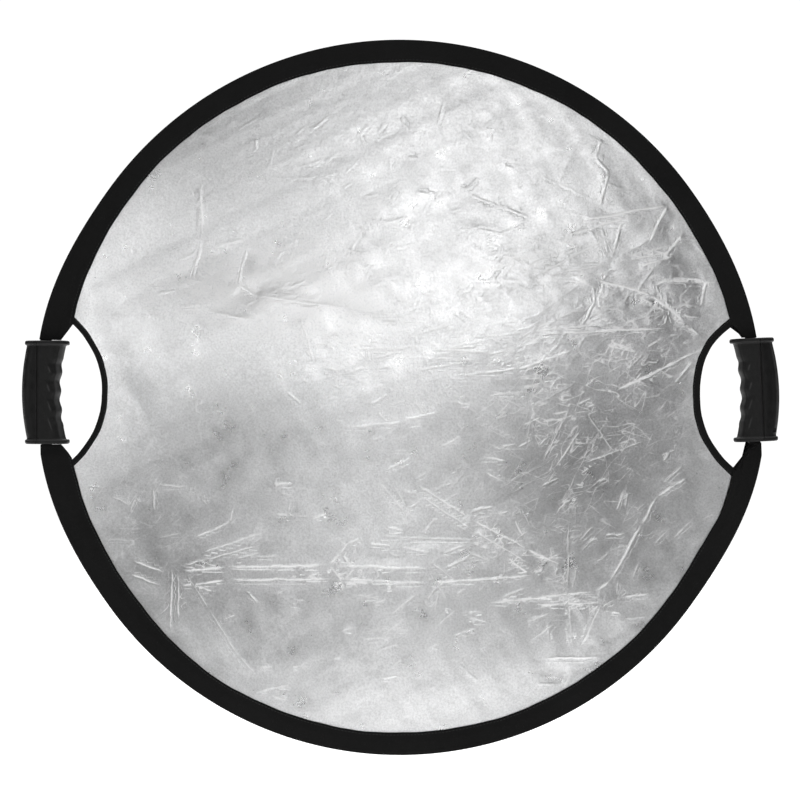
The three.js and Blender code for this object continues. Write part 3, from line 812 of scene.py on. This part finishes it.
def rim_span(half, radius):
    """The angles between which the upper or the lower half of the rim runs, at one radius."""
    if half == "upper":
        return rim_end("right", 1, radius), rim_end("left", 1, radius)
    return rim_end("left", -1, radius), 360 + rim_end("right", -1, radius)


def channel_depth(radius):
    """Half the outside depth of the sewn channel: it thins to its stitched inner edge."""
    return RIM_HALF_DEPTH - (RIM_HALF_DEPTH - EDGE_HALF_DEPTH) * smooth(10, 0, radius - RIM_INNER)


def rim_pucker(radius, angle, seed):
    """Small waves of the tape, strongest between the stitches and the outer edge."""
    along = np.radians(angle) * RIM_RADIUS
    waves = ripple(along, [(61, 0.10), (37, 0.09), (23, 0.07), (9.5, 0.05)], seed)
    return waves * np.sin(np.pi * np.clip((radius - RIM_INNER) / RIM_WIDTH, 0, 1)) ** 0.5


def edge_wave(angle, seed):
    """How the tape's inner edge wanders, in millimetres."""
    return ripple(np.radians(angle) * RIM_INNER, [(170, 0.35), (83, 0.22), (31, 0.12)], seed)


# Where the front of the tape is sewn wider or narrower: angle, half width in degrees, change.
EDGE_CHANGES = [(212, 16, -5.0), (192, 5, -1.5), (16, 9, 4.0), (345, 9, 5.5)]


def front_edge(angle):
    """The front tape's inner edge, away from its circle, in millimetres."""
    total = edge_wave(angle, 11)
    for centre, half, change in EDGE_CHANGES:
        away = (np.mod(angle, 360) - centre + 180) % 360 - 180
        total = total + change * np.exp(-(away / half) ** 2)
    return total


# Each wall of the rim gives the radius and y of a line of points, from its place on the
# tape's section, whether it is on the inside of the tape, its angles, the lip and a seed.

def front_wall(radius, inside, angle, _, seed):
    r = radius + front_edge(angle) * smooth(16, 0, radius - RIM_INNER)
    return r, inside * CLOTH - channel_depth(r) - rim_pucker(r, angle, seed) * (1 - inside)


def outer_fold(turn, inside, *_):
    depth = RIM_HALF_DEPTH - FOLD_RADIUS + FOLD_RADIUS * abs(math.sin(turn)) - inside * CLOTH
    r = RIM_RADIUS - FOLD_RADIUS + FOLD_RADIUS * math.cos(turn) - inside * CLOTH
    return r, math.copysign(depth, turn)


def back_wall(share, inside, angle, lip, seed):
    outer, first = RIM_RADIUS - FOLD_RADIUS, lip(angle)
    whole = first < RIM_INNER + 1
    wander = edge_wave(angle, seed) * smooth(16, 0, outer - RIM_WIDTH * share - RIM_INNER)
    r = outer - (outer - first) * share + wander * whole
    pucker = np.abs(rim_pucker(r, angle, seed + 1)) * (1 - inside) * whole
    return r, channel_depth(r) - inside * CLOTH + pucker


def rim_section():
    """Round the tape's section: a wall, the place on it, the radius for its ends, inside."""
    walls = np.linspace(0, 1, 13)
    outer = RIM_RADIUS - FOLD_RADIUS
    front = [(front_wall, r, r) for r in outer - (outer - RIM_INNER) * walls[::-1]]
    fold = [(outer_fold, a, outer + FOLD_RADIUS * math.cos(a))
            for a in np.radians(np.linspace(-90, 90, 9)[1:-1])]
    back = [(back_wall, share, outer - RIM_WIDTH * share) for share in walls]
    return there_and_back(front + fold + back, 0, 1)


def add_rim_half(half, steps, lip, seed):
    """Half of the rim tape. lip(angle) is the radius where its back wall begins."""
    share = np.linspace(0, 1, steps)
    columns = []
    for wall, place, radius, inside in rim_section():
        start, end = rim_span(half, radius)
        angle = start + (end - start) * share
        columns.append(on_disc(*wall(place, inside, angle, lip, seed), angle))
    new_piece("rim_" + half, round_disc(columns), "disc", "rim_cloth", RIM_CLOTH,
              "cover_rim_" + half)


def zip_lip(angle):
    """Where the rim's back wall begins: it is cut back to the zip along the flap."""
    inside = smooth(ZIP_START - 0.05, ZIP_START + 0.05, angle)
    inside = inside * smooth(ZIP_END + 0.05, ZIP_END - 0.05, angle)
    return RIM_INNER + (LIP_RADIUS - RIM_INNER) * inside


def add_rim():
    add_rim_half("upper", 460, lambda angle: np.full_like(angle, RIM_INNER), 11)
    add_rim_half("lower", 900, zip_lip, 21)


def add_flap_band():
    """The strip of rim tape that opens with the flap, sewn to the flap's half of the zip."""
    angle = np.linspace(ZIP_START + FLAP_END_GAP, ZIP_END - FLAP_END_GAP, 380)
    radii = np.linspace([RIM_INNER], FLAP_RIM_RADIUS, 9)
    columns = []
    for radius, inside in there_and_back(radii, 0, 1):
        r = radius + edge_wave(angle, 23) * smooth(9, 0, radius - RIM_INNER)
        flat_at_zip = smooth(0, 2, FLAP_RIM_RADIUS - radius - 5)
        pucker = 0.5 * np.abs(rim_pucker(r, angle, 24)) * (1 - inside) * flat_at_zip
        columns.append(on_disc(r, channel_depth(r) - inside * CLOTH + pucker, angle))
    new_piece("flap_band", round_disc(columns), FOLDED, "rim_cloth", RIM_CLOTH, "flap_rim_band")


def add_sleeve():
    """The middle panel's channel round the hoop, gathered narrower inside the grips."""
    steps, middle, gathered_by = 540, 1.3, 10
    angle = np.arange(steps) * 360 / steps
    neck, shoulder, mouth_turn = RIM_INNER + 9, RIM_INNER + 15, RIM_INNER + 17
    outside = [(SLEEVE_MOUTH, middle), (neck, 1.7), (shoulder, SLEEVE_HALF_DEPTH),
               (SLEEVE_OUTER - 0.8, SLEEVE_HALF_DEPTH), (SLEEVE_OUTER, SLEEVE_HALF_DEPTH - 0.8)]
    lining = [(SLEEVE_OUTER - CLOTH, SLEEVE_HALF_DEPTH - 1.2),
              (SLEEVE_OUTER - 1.3, SLEEVE_HALF_DEPTH - CLOTH),
              (shoulder, SLEEVE_HALF_DEPTH - CLOTH), (neck, 1.7 - CLOTH),
              (SLEEVE_MOUTH, middle - CLOTH)]
    section = [(r, -y) for r, y in outside] + [(r, y) for r, y in outside[::-1]]
    section += [(r, y) for r, y in lining[::-1]] + [(r, -y) for r, y in lining]
    gathers = [(RIM_LENGTH / 61, 0.12), (RIM_LENGTH / 97, 0.08)]
    wave = ripple(np.radians(angle) * RIM_RADIUS, gathers, 31)
    columns = []
    for radius, y in section:
        r = radius + wave * (radius < shoulder)
        height = np.abs(r * np.sin(np.radians(angle))) / GRIP_HALF_LENGTH
        gathered = np.clip((1.5 - height) / 0.25, 0, 1)
        gathered = gathered * np.clip((mouth_turn - r) / (mouth_turn - SLEEVE_MOUTH), 0, None)
        columns.append(on_disc(r + gathered_by * gathered, y, angle))
    new_piece("hoop_sleeve_cloth", round_disc(columns, True, SLEEVE_SWELL_START), "disc",
              "rim_cloth", SLEEVE_CLOTH, "hoop_sleeve")


# --- Stitches ---

def stitch_row(points, normal, length=2.7):
    """One thread stitch at every point along a line, all with the same normal."""
    width, height = 0.5, 0.32
    way = np.roll(points, -1, 0) - np.roll(points, 1, 0)
    way[0], way[-1] = way[1], way[-2]
    way /= np.linalg.norm(way, axis=1, keepdims=True)
    across = np.cross(way, normal)
    across /= np.linalg.norm(across, axis=1, keepdims=True)
    verts, sides = [], 6
    for share, size in ((-1, 0), (-0.72, 0.85), (0, 1.15), (0.72, 0.85), (1, 0)):
        for k in range(sides if size else 1):
            a = 2 * math.pi * k / sides
            sideways = math.cos(a) * size * width / 2
            up = math.sin(a) * size * height / 2 - 0.12 * abs(share) * height
            verts.append(points + way * share * length / 2 + across * sideways + normal * up)
    around = [(k, (k + 1) % sides) for k in range(sides)]
    last = 1 + 3 * sides
    pattern = [[0, 1 + a, 1 + b] for a, b in around]
    for first in (1, 1 + sides):
        pattern += [[first + a, first + sides + a, first + sides + b, first + b] for a, b in around]
    pattern += [[last, last - sides + b, last - sides + a] for a, b in around]
    faces = [[i * len(verts) + v for v in face] for i in range(len(points)) for face in pattern]
    return np.stack(verts, axis=1).reshape(-1, 3), faces


def join_rows(rows):
    """Several (points, faces) pairs as one."""
    points, faces, first = [], [], 0
    for p, f in rows:
        points.append(p)
        faces += [[v + first for v in face] for face in f]
        first += len(p)
    return np.vstack(points), faces


def add_stitching(name, rows, body):
    new_piece(name, join_rows(rows), body, "rim_cloth", THREAD, sharp=60, recalc=False)


def ring_stitches(radius, y, start, end, pitch=3.9, seed=None):
    """A row of stitches round the disc at one radius and depth.

    On the front it follows the tape's edge, and on the back it wanders by its seed.
    """
    count = int(math.radians(end - start) * radius / pitch)
    angle = start + (end - start) * (np.arange(count) + 0.5) / count
    if y < 0:
        wander = front_edge(angle)
    else:
        wander = ripple(np.radians(angle) * radius, [(140, 0.25), (60, 0.15)], seed)
    points = swell(on_disc(radius + wander, y, angle))
    return stitch_row(points, np.array([0.0, np.sign(y), 0.0]))


def add_rim_stitches():
    inset, inner_row, outer_row = RIM_INNER + 2.6, 383.3, 393.6
    y, tape_y = float(channel_depth(inset)) + 0.1, TAPE_Y + 0.55
    spans = [rim_span(half, inset) for half in ("upper", "lower")]
    top, bottom = ((start + 0.3, end - 0.3) for start, end in spans)
    on_tape = ZIP_START + 1.4, ZIP_END - 1.4
    add_stitching("rim_stitching", [
        ring_stitches(inset, -y, *top),
        ring_stitches(inset, -y, *bottom),
        ring_stitches(inset, y, *top, seed=42),
        ring_stitches(inset, y, bottom[0], ZIP_START - 0.4, seed=43),
        ring_stitches(inset, y, ZIP_END + 0.4, bottom[1], seed=44),
        ring_stitches(outer_row, tape_y, *on_tape, pitch=3.2, seed=45),
    ], "disc")
    add_stitching("flap_stitching", [
        ring_stitches(inset, y, ZIP_START + 1.2, ZIP_END - 1.2, seed=46),
        ring_stitches(inner_row, tape_y, *on_tape, pitch=3.2, seed=47),
    ], FOLDED)


# --- The bindings of the hand openings ---

def round_opening(side, radius, y, angle):
    """Points round a hand opening, at angles above the way to the disc's middle."""
    ox, oz = side["opening"]
    r = radius + kink(side, angle)
    x = side["sign"] * (abs(ox) - r * np.cos(np.radians(angle)))
    return np.stack(np.broadcast_arrays(x, y, oz + r * np.sin(np.radians(angle))), axis=-1)


def binding_angles(side, radius, reach, share):
    """Angles round an opening at shares of the way between where its binding meets the rim."""
    def before_rim(direction):
        def inside(angle):
            x, _, z = round_opening(side, radius, 0, direction * angle)
            return math.hypot(x, z) < reach
        return inside

    low, high = (direction * bisect(89.0, before_rim(direction)) for direction in (-1, 1))
    return low + (high - low) * share


def binding_section(width):
    """A folded tape: a flat oval, fuller at its folded edge, as (offset, depth) pairs."""
    steps = 20
    points = []
    for a in np.arange(steps) * 2 * math.pi / steps:
        across = math.copysign(abs(math.cos(a)) ** 0.35, math.cos(a))
        up = math.copysign(abs(math.sin(a)) ** 0.5, math.sin(a))
        offset = width / 2 + width / 2 * across
        full = 1 + 0.25 * (1 - offset / width)
        points.append((offset, BINDING_THICKNESS / 2 * full * up))
    return points


def add_binding(label, side_name, y, reach, node):
    side = SIDES[side_name]
    width = side["binding"] - 0.1
    columns = []
    for offset, depth in binding_section(width):
        radius = OPENING_RADIUS + offset
        angle = binding_angles(side, radius, reach, np.linspace(0, 1, 120))
        waves = [(64, 0.28), (29, 0.16), (11, 0.05)]
        wander = ripple(np.radians(angle) * radius, waves, 50 + len(label))
        wander = wander * (0.6 + 0.4 * offset / width)
        columns.append(round_opening(side, radius + wander, y + depth, angle))
    new_piece(f"binding_{label}_{side_name}", sweep(np.stack(columns, axis=1)), "disc",
              "rim_cloth", RIM_CLOTH, node)
    return binding_stitches(side, width, y, reach)


def binding_stitches(side, width, y, reach):
    """Both faces' stitches along a binding's sewn edge."""
    radius, pitch = OPENING_RADIUS + width - 1.6, 3.6
    low, high = binding_angles(side, radius, reach - 4, np.array([0, 1]))
    angle = np.linspace(low, high, int(math.radians(high - low) * radius / pitch))
    return [stitch_row(round_opening(side, radius, y + sign * 0.6, angle),
                       np.array([0.0, sign, 0.0]), length=2.4) for sign in (-1.0, 1.0)]


def add_bindings():
    rows = []
    layers = {"front": (-PANEL_SPACING, PANEL_RADIUS, "cover_front_binding_"),
              "middle": (0.0, SLEEVE_MOUTH + 3, "diffuser_binding_"),
              "back": (PANEL_SPACING, PANEL_RADIUS, "cover_back_binding_")}
    for side_name in SIDES:
        for label, (y, reach, node) in layers.items():
            rows += add_binding(label, side_name, y, reach, node + side_name)
    add_stitching("binding_stitching", rows, "disc")


# --- The zip ---

def add_tape(name, node, body, inner, outer):
    angle = np.linspace(ZIP_START + 1, ZIP_END - 1, 360)
    radii = np.linspace([inner], outer, 6)
    wave = np.abs(ripple(np.radians(angle) * ZIP_RADIUS, [(47, 0.06), (19, 0.04)], 61))
    columns = [on_disc(radius, TAPE_Y + (0.45 + wave) * top, angle)
               for radius, top in there_and_back(radii, 1, 0)]
    new_piece(name, round_disc(columns), body, "zip_nylon", ZIP_TAPE, node)


def tooth_shape():
    """One moulded tooth as (away from its tape, along the zip, up) points and its faces."""
    half = [(-1.55, 0.75), (-0.2, 0.55), (0.1, 0.42), (0.35, 0.62), (0.75, 0.5)]
    outline = [(u, -v) for u, v in half] + [(0.85, 0.0)] + half[::-1]
    levels = [(4.95, 1.0), (6.0, 1.0), (6.25, 0.8)]
    points = [(0.15 * (1 - s) + u * s, v * s, h) for h, s in levels for u, v in outline]
    k = len(outline)
    faces = grid_faces(len(levels), k, closed_columns=True)
    faces += [list(range(k)), list(range((len(levels) - 1) * k, len(levels) * k))]
    return np.array(points), faces


def add_teeth(name, node, body, direction, offset):
    """A row of teeth that reach across the zip's line into the other row's spaces."""
    pitch, clear = 3.0, 1.7
    shape, pattern = tooth_shape()
    count = int(math.radians(ZIP_END - ZIP_START - 2 * clear) * ZIP_RADIUS / pitch)
    rows = []
    for i in range(count):
        along = (i + offset) * pitch + shape[:, 1]
        angle = ZIP_START + clear + np.degrees(along / ZIP_RADIUS)
        rows.append((on_disc(ZIP_RADIUS + direction * shape[:, 0], shape[:, 2], angle), pattern))
    points, faces = join_rows(rows)
    new_piece(name, (swell(points), faces), body, "zip_nylon", NYLON, node, sharp=35)


def add_rounded_copy(name, node, body, width):
    """A CAD node's shape with its edges rounded, standing for it."""
    def merge(edit):
        bmesh.ops.remove_doubles(edit, verts=edit.verts, dist=2e-6)
        bmesh.ops.dissolve_limit(edit, angle_limit=math.radians(3), verts=edit.verts,
                                 edges=edit.edges)

    def soften(edit):
        edges = [e for e in edit.edges
                 if len(e.link_faces) == 2 and e.calc_face_angle(0) > math.radians(35)]
        bmesh.ops.bevel(edit, geom=edges, offset=width * MM, segments=3, profile=0.5,
                        affect="EDGES", clamp_overlap=True)

    mesh = rework(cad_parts[node].data.copy(), merge, soften)
    set_piece(name, shade(mesh, 50), body, "zip_metal", DARK_METAL, node)


def add_zip():
    add_tape("zip_tape_inner", "zip_tape_flap", FOLDED, 382.35, 387.1)
    add_tape("zip_tape_outer", "zip_tape_rim", "disc", 389.7, 394.45)
    add_teeth("zip_teeth_inner", "zip_teeth_flap", FOLDED, 1, 0.25)
    add_teeth("zip_teeth_outer", "zip_teeth_rim", "disc", -1, 0.75)
    add_rounded_copy("slider", "zip_slider", "slider", 0.22)
    add_rounded_copy("slider_puller", "zip_puller", "puller", 0.3)
    add_rounded_copy("top_stop", "zip_top_stop", "disc", 0.3)
    add_rounded_copy("pin_box", "zip_pin_box", "disc", 0.3)


# --- The hand grips ---

FULLNESS = 2.667  # exponent of a grip's section, between an ellipse and a rectangle
FINGER_PITCH = 20.5
GRIP_SHARP = 42  # degrees; shade() takes it
JOIN_GAP = 0.15  # between the parting and each half of a grip


def body_edges(z):
    """The finger side's and the palm side's u at heights z of a grip's body."""
    window = np.clip((40 - np.abs(z)) / 8, 0, 1)
    ridge = 0.95 * window * np.cos(2 * np.pi * (z - 1.5) / FINGER_PITCH)
    share = (z / (GRIP_BODY_HALF + 1)) ** 2
    return -14.2 - 6.8 * share - ridge, 28 - 6 * share


def grip_rows():
    """Rows of a grip as (z, finger edge, palm edge, half depth, inset), bottom to top."""
    lip = [(0.0, 1.3), (0.25, 0.55), (0.8, 0.12), (1.7, 0.0), (3.0, 0.0), (3.9, 0.25),
           (4.6, 0.8), (4.95, 1.7), (5.0, 2.6), (4.8, 3.5), (4.3, 4.2), (4.2, 5.2)]
    body = np.linspace(-GRIP_BODY_HALF, GRIP_BODY_HALF, 107)
    fingers, palms = body_edges(body)
    near = np.abs(body) > GRIP_BODY_HALF - 1.6
    fillet = np.where(near, 0.7 * ((np.abs(body) - GRIP_BODY_HALF + 1.6) / 1.6) ** 2, 0)
    rows = [(z, f - e, p + e, 15.0 + e, 0.0) for z, f, p, e in zip(body, fingers, palms, fillet)]
    flange = [(GRIP_BODY_HALF + h, -24.5, 24.5, 17.5, inset) for h, inset in lip]
    below = [(-z, *rest) for z, *rest in reversed(flange)]
    return below + rows + flange


def grip_relief(u, z, finger_edge, on_body):
    """How deep the body's broad faces are cut, at u and z: scoops, seam and finger strip."""
    from_edge = u - finger_edge
    strip = 0.55 * np.exp(-((from_edge - 5.6) / 0.9) ** 2)
    fingers = 0.5 - 0.5 * np.cos(2 * np.pi * (z - 1.5) / FINGER_PITCH)
    scoop = np.clip((41 - np.abs(z)) / 9, 0, 1) * fingers * smooth(15, 4, from_edge)
    seam = 0.75 * np.exp(-((u - PARTING) / 0.55) ** 2)
    palm_strip = 0.35 * np.exp(-((u - 24.5) / 0.9) ** 2)
    return (strip + scoop + seam + palm_strip - 0.75 * finger_ribs(u, z)) * on_body


def finger_ribs(u, z):
    """The four short slanting ribs in the finger scoops, 0 to 1."""
    ribs = np.zeros_like(u)
    for step, middle in enumerate((-4.6, -3.6, -4.6, -5.6)):
        centre = 25.5 - FINGER_PITCH * step
        slant = u - middle - 0.34 * (z - centre)
        ribs += np.exp(-(slant / 0.8) ** 2 - ((z - centre) / (3.0 + step)) ** 4)
    return ribs


def painted_highlight(u, z):
    """Painted highlights on a grip, 0 to 1: its two edges, the ribs and the flanges, paler where light
    would catch them.
    """
    finger, palm = body_edges(z)
    on_body = smooth(GRIP_BODY_HALF, GRIP_BODY_HALF - 1.5, np.abs(z))
    edges = np.exp(-((u - finger - 2.4) / 1.9) ** 4) + 0.8 * np.exp(-((palm - u - 2.2) / 1.4) ** 4)
    flange = 0.6 * np.exp(-((np.abs(z) - GRIP_BODY_HALF - 0.8) / 0.8) ** 2)
    return np.clip((edges + finger_ribs(u, z)) * on_body + flange, 0, 1)


def section_y(u, low, high, half_depth):
    middle, half = (low + high) / 2, (high - low) / 2
    s = np.clip(np.abs((u - middle) / half), 0, 1)
    return half_depth * (1 - s ** FULLNESS) ** (1 / FULLNESS)


# The way for the hoop through the finger shell, front to back: u and y of its corners.
PASSAGE = [(PARTING - JOIN_GAP, -6.6), (-9.9, -6.6), (-9.9, 6.6), (PARTING - JOIN_GAP, 6.6)]


def shell_mesh(palm):
    """One half of a grip in the grip's own frame: a closed solid on one side of the parting."""
    share = 1 - np.cos(np.linspace(0, 1, 26 if palm else 52) * np.pi / 2)
    sections = []
    for z, finger, palm_edge, half_depth, inset in grip_rows():
        low, high = finger + inset, palm_edge - inset
        edge, join = (high, PARTING + JOIN_GAP) if palm else (low, PARTING - JOIN_GAP)
        u = edge + (join - edge) * share
        on_body = float(abs(z) < GRIP_BODY_HALF - 0.01) * min(1, (GRIP_BODY_HALF - abs(z)) / 2)
        y = section_y(u, low, high, half_depth - inset)
        relief = grip_relief(u, np.full_like(u, z), low, on_body)
        seam = 0.6 * np.exp(-((u - PARTING) / 0.45) ** 2) * (1 - on_body)
        y = np.maximum(y - (relief + seam) * smooth(0, 6, y), 0.0)
        back, front = (np.stack([u, way * y, np.full_like(u, z)], axis=-1) for way in (1, -1))
        inside = [] if palm else [[(a, b, z) for a, b in PASSAGE]]
        sections.append(np.vstack([back[:0:-1], front, *inside]))
    return rework(mesh_of(*sweep(np.stack(sections))),
                  lambda edit: bmesh.ops.remove_doubles(edit, verts=edit.verts, dist=1e-6))


def cutter(shape, place, **sizes):
    """A simple solid in the grip's frame, for cutting."""
    edit = bmesh.new()
    shape(edit, **sizes)
    bmesh.ops.transform(edit, matrix=place, verts=edit.verts)
    mesh = bpy.data.meshes.new("cutter")
    edit.to_mesh(mesh)
    edit.free()
    return add_object("cutter", mesh)


def block_cutter(*ranges):
    """A box between its ranges of u, y and z."""
    size = Vector([high - low for low, high in ranges]) * MM
    centre = Vector([low + high for low, high in ranges]) * MM / 2
    place = Matrix.Translation(centre) @ Matrix.Diagonal((*size, 1))
    return cutter(bmesh.ops.create_cube, place, size=1)


def hole_cutter(radius, u, y, z):
    """A round hole along a range of u."""
    centre = Vector(((u[0] + u[1]) / 2, y, z)) * MM
    place = Matrix.Translation(centre) @ Matrix.Rotation(math.pi / 2, 4, "Y")
    return cutter(bmesh.ops.create_cone, place, cap_ends=True, segments=36,
                  radius1=radius * MM, radius2=radius * MM, depth=(u[1] - u[0]) * MM)


def cut(mesh, cutters):
    """The mesh with every cutter taken out of it. The cutters are removed."""
    target = add_object("cut_target", mesh)
    for tool in cutters:
        modifier = target.modifiers.new("cut", "BOOLEAN")
        modifier.operation, modifier.solver, modifier.object = "DIFFERENCE", "EXACT", tool
    graph = bpy.context.evaluated_depsgraph_get()
    result = bpy.data.meshes.new_from_object(target.evaluated_get(graph), depsgraph=graph)
    for made in [target, *cutters]:
        bpy.data.objects.remove(made)
    return shade(result, GRIP_SHARP)


# The screws' y and z in the grip's frame.
SCREWS = {"top": (9.0, 46.0), "bottom": (-9.0, -46.0)}


def screw_mesh(y, z):
    """A domed screw head with a cross recess, on its shank, in the grip's frame."""
    outline = [(0.8, -2.0), (1.2, -1.4), (1.2, 14.9), (2.1, 15.0), (2.28, 15.25),
               (2.28, 16.2), (2.1, 16.7), (1.6, 17.1), (0.8, 17.32)]
    turn = np.arange(40) * 2 * math.pi / 40
    rows = [np.stack([np.full_like(turn, u), y + r * np.cos(turn), z + r * np.sin(turn)], axis=-1)
            for r, u in outline]
    wings = [block_cutter((16.2, 20), (y - a, y + a), (z - b, z + b))
             for a, b in ((1.4, 0.28), (0.28, 1.4))]
    return cut(rework(mesh_of(*sweep(np.array(rows)))), wings)


def grip_place(side):
    x, z = side["grip"]
    turn = Euler((0, 0, math.radians(side["roll"]))).to_matrix().to_4x4()
    tilt = Euler((0, math.radians(side["tilt"]), 0)).to_matrix().to_4x4()
    return Matrix.Translation(Vector((x, 0, z)) * MM) @ tilt @ turn


def add_grips():
    bores = (2.6, (14.7, 40)), (1.5, (0, 16))
    holes = [hole_cutter(r, u, *place) for place in SCREWS.values() for r, u in bores]
    meshes = {"palm_shell": (cut(shell_mesh(True), holes), "grip_plastic", GRIP_PLASTIC),
              "finger_shell": (shade(shell_mesh(False), GRIP_SHARP), "grip_rubber", GRIP_RUBBER)}
    for label, place in SCREWS.items():
        meshes["screw_" + label] = (screw_mesh(*place), "screw_steel", SCREW_STEEL)
    for side_name, side in SIDES.items():
        for label, (mesh, slot, material) in meshes.items():
            own = mesh.copy()
            points = np.array([v.co for v in own.vertices]) / MM
            own.transform(grip_place(side))
            piece = set_piece(f"{side_name}_{label}", own, "grip_" + side_name, slot, material,
                              f"grip_{side_name}_{label}")
            # the painted highlights, worked out in the grip's own frame
            set_attribute(piece, "painted_highlight", painted_highlight(points[:, 0], points[:, 2]))


# --- The hoop keeps its CAD shape ---

def paint_hoop():
    for node in ("hoop_spring", "hoop_ferrule"):
        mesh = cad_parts[node].data
        mesh.materials.clear()
        mesh.materials.append(STEEL)


# --- Studio ---

# Softboxes: name, place, what they aim at, width and height in metres, power in watts.
LIGHTS = [
    ("key_softbox", (0, -3.3, 0.36), (0, 0, 0.1), (0.5, 1.2), 4.7),
    ("left_softbox", (-1.0, -3.3, 0.16), (-0.3, 0, 0), (0.4, 1.0), 3.9),
    ("right_softbox", (0.5, -3.3, 0.75), (0.2, 0, 0.1), (0.5, 0.6), 2.5),
    ("side_softbox", (1.1, -3.3, -0.25), (0.3, 0, -0.1), (0.4, 0.8), 0.9),
    ("low_softbox", (0, -3.3, -0.95), (0, 0, -0.3), (0.6, 0.4), 1.2),
    ("top_softbox", (0, -1.7, 2.6), (0, 0, 0), (2.0, 0.8), 8),
    ("left_strip", (-2.4, -1.6, 0.5), (0, 0, 0), (0.5, 1.6), 6),
    ("right_strip", (2.4, -1.6, 0.3), (0, 0, 0), (0.4, 1.4), 2.8),
    ("overhead_panel", (0, 5.5, 4), (0, 5.5, -1), (7, 7), 260),
    ("overhead_panel", (-5.5, 0, 4), (-5.5, 0, -1), (7, 7), 60),
    ("overhead_panel", (5.5, 0, 4), (5.5, 0, -1), (7, 7), 60),
    ("back_softbox", (-1.6, 3.0, 1.8), (0, 0, 0), (1.6, 1.2), 10),
]


def add_camera():
    data = bpy.data.cameras.new("camera")
    data.lens, data.sensor_width = 85, 36
    view_width = 0.896
    camera = add_object("camera", data)
    camera.location = (0.0004, -view_width * data.lens / data.sensor_width, -0.0029)
    camera.rotation_euler = (math.pi / 2, 0, 0)
    bpy.context.scene.camera = camera


def add_light(name, place, aim, size, power):
    data = bpy.data.lights.new(name, "AREA")
    data.shape, data.size, data.size_y = "RECTANGLE", *size
    data.energy = power
    light = add_object(name, data)
    light.location = place
    light.rotation_euler = (Vector(aim) - Vector(place)).to_track_quat("-Z", "Y").to_euler()
    light.visible_camera = False


def add_floor():
    bpy.ops.mesh.primitive_circle_add(vertices=96, radius=9, fill_type="NGON", location=(0, 6.5, -1.0))
    floor = bpy.context.object
    floor.name = "studio_floor"
    floor.data.materials.append(floor_material())


def add_world():
    """Pale studio surroundings: white behind the object, softer in what it reflects."""
    world = bpy.data.worlds.new("studio")
    world.use_nodes = True
    world.node_tree.nodes.clear()
    n = Tree(world.node_tree)
    direction = n.add("ShaderNodeTexCoord").outputs["Generated"]
    height = n.add("ShaderNodeSeparateXYZ", {0: direction}).outputs["Z"]
    reflected = n.spread(height, 0.3, 1.0, 0.02, 1.3, interpolation_type="SMOOTHSTEP")
    seen = 1.05
    around, behind = (
        n.add("ShaderNodeBackground", {"Color": grey(1.0), "Strength": strength}).outputs[0]
        for strength in (reflected, seen))
    ray = n.add("ShaderNodeLightPath").outputs["Is Camera Ray"]
    mix = n.add("ShaderNodeMixShader", {0: ray, 1: around, 2: behind}).outputs[0]
    n.add("ShaderNodeOutputWorld", {"Surface": mix})
    bpy.context.scene.world = world


def add_studio():
    add_floor()
    add_world()
    for light in LIGHTS:
        add_light(*light)
    bpy.context.scene.view_settings.view_transform = "Standard"


add_camera()
add_studio()
add_foil_panels()
add_diffuser()
add_rim()
add_flap_band()
add_sleeve()
add_rim_stitches()
add_bindings()
add_zip()
add_grips()
paint_hoop()
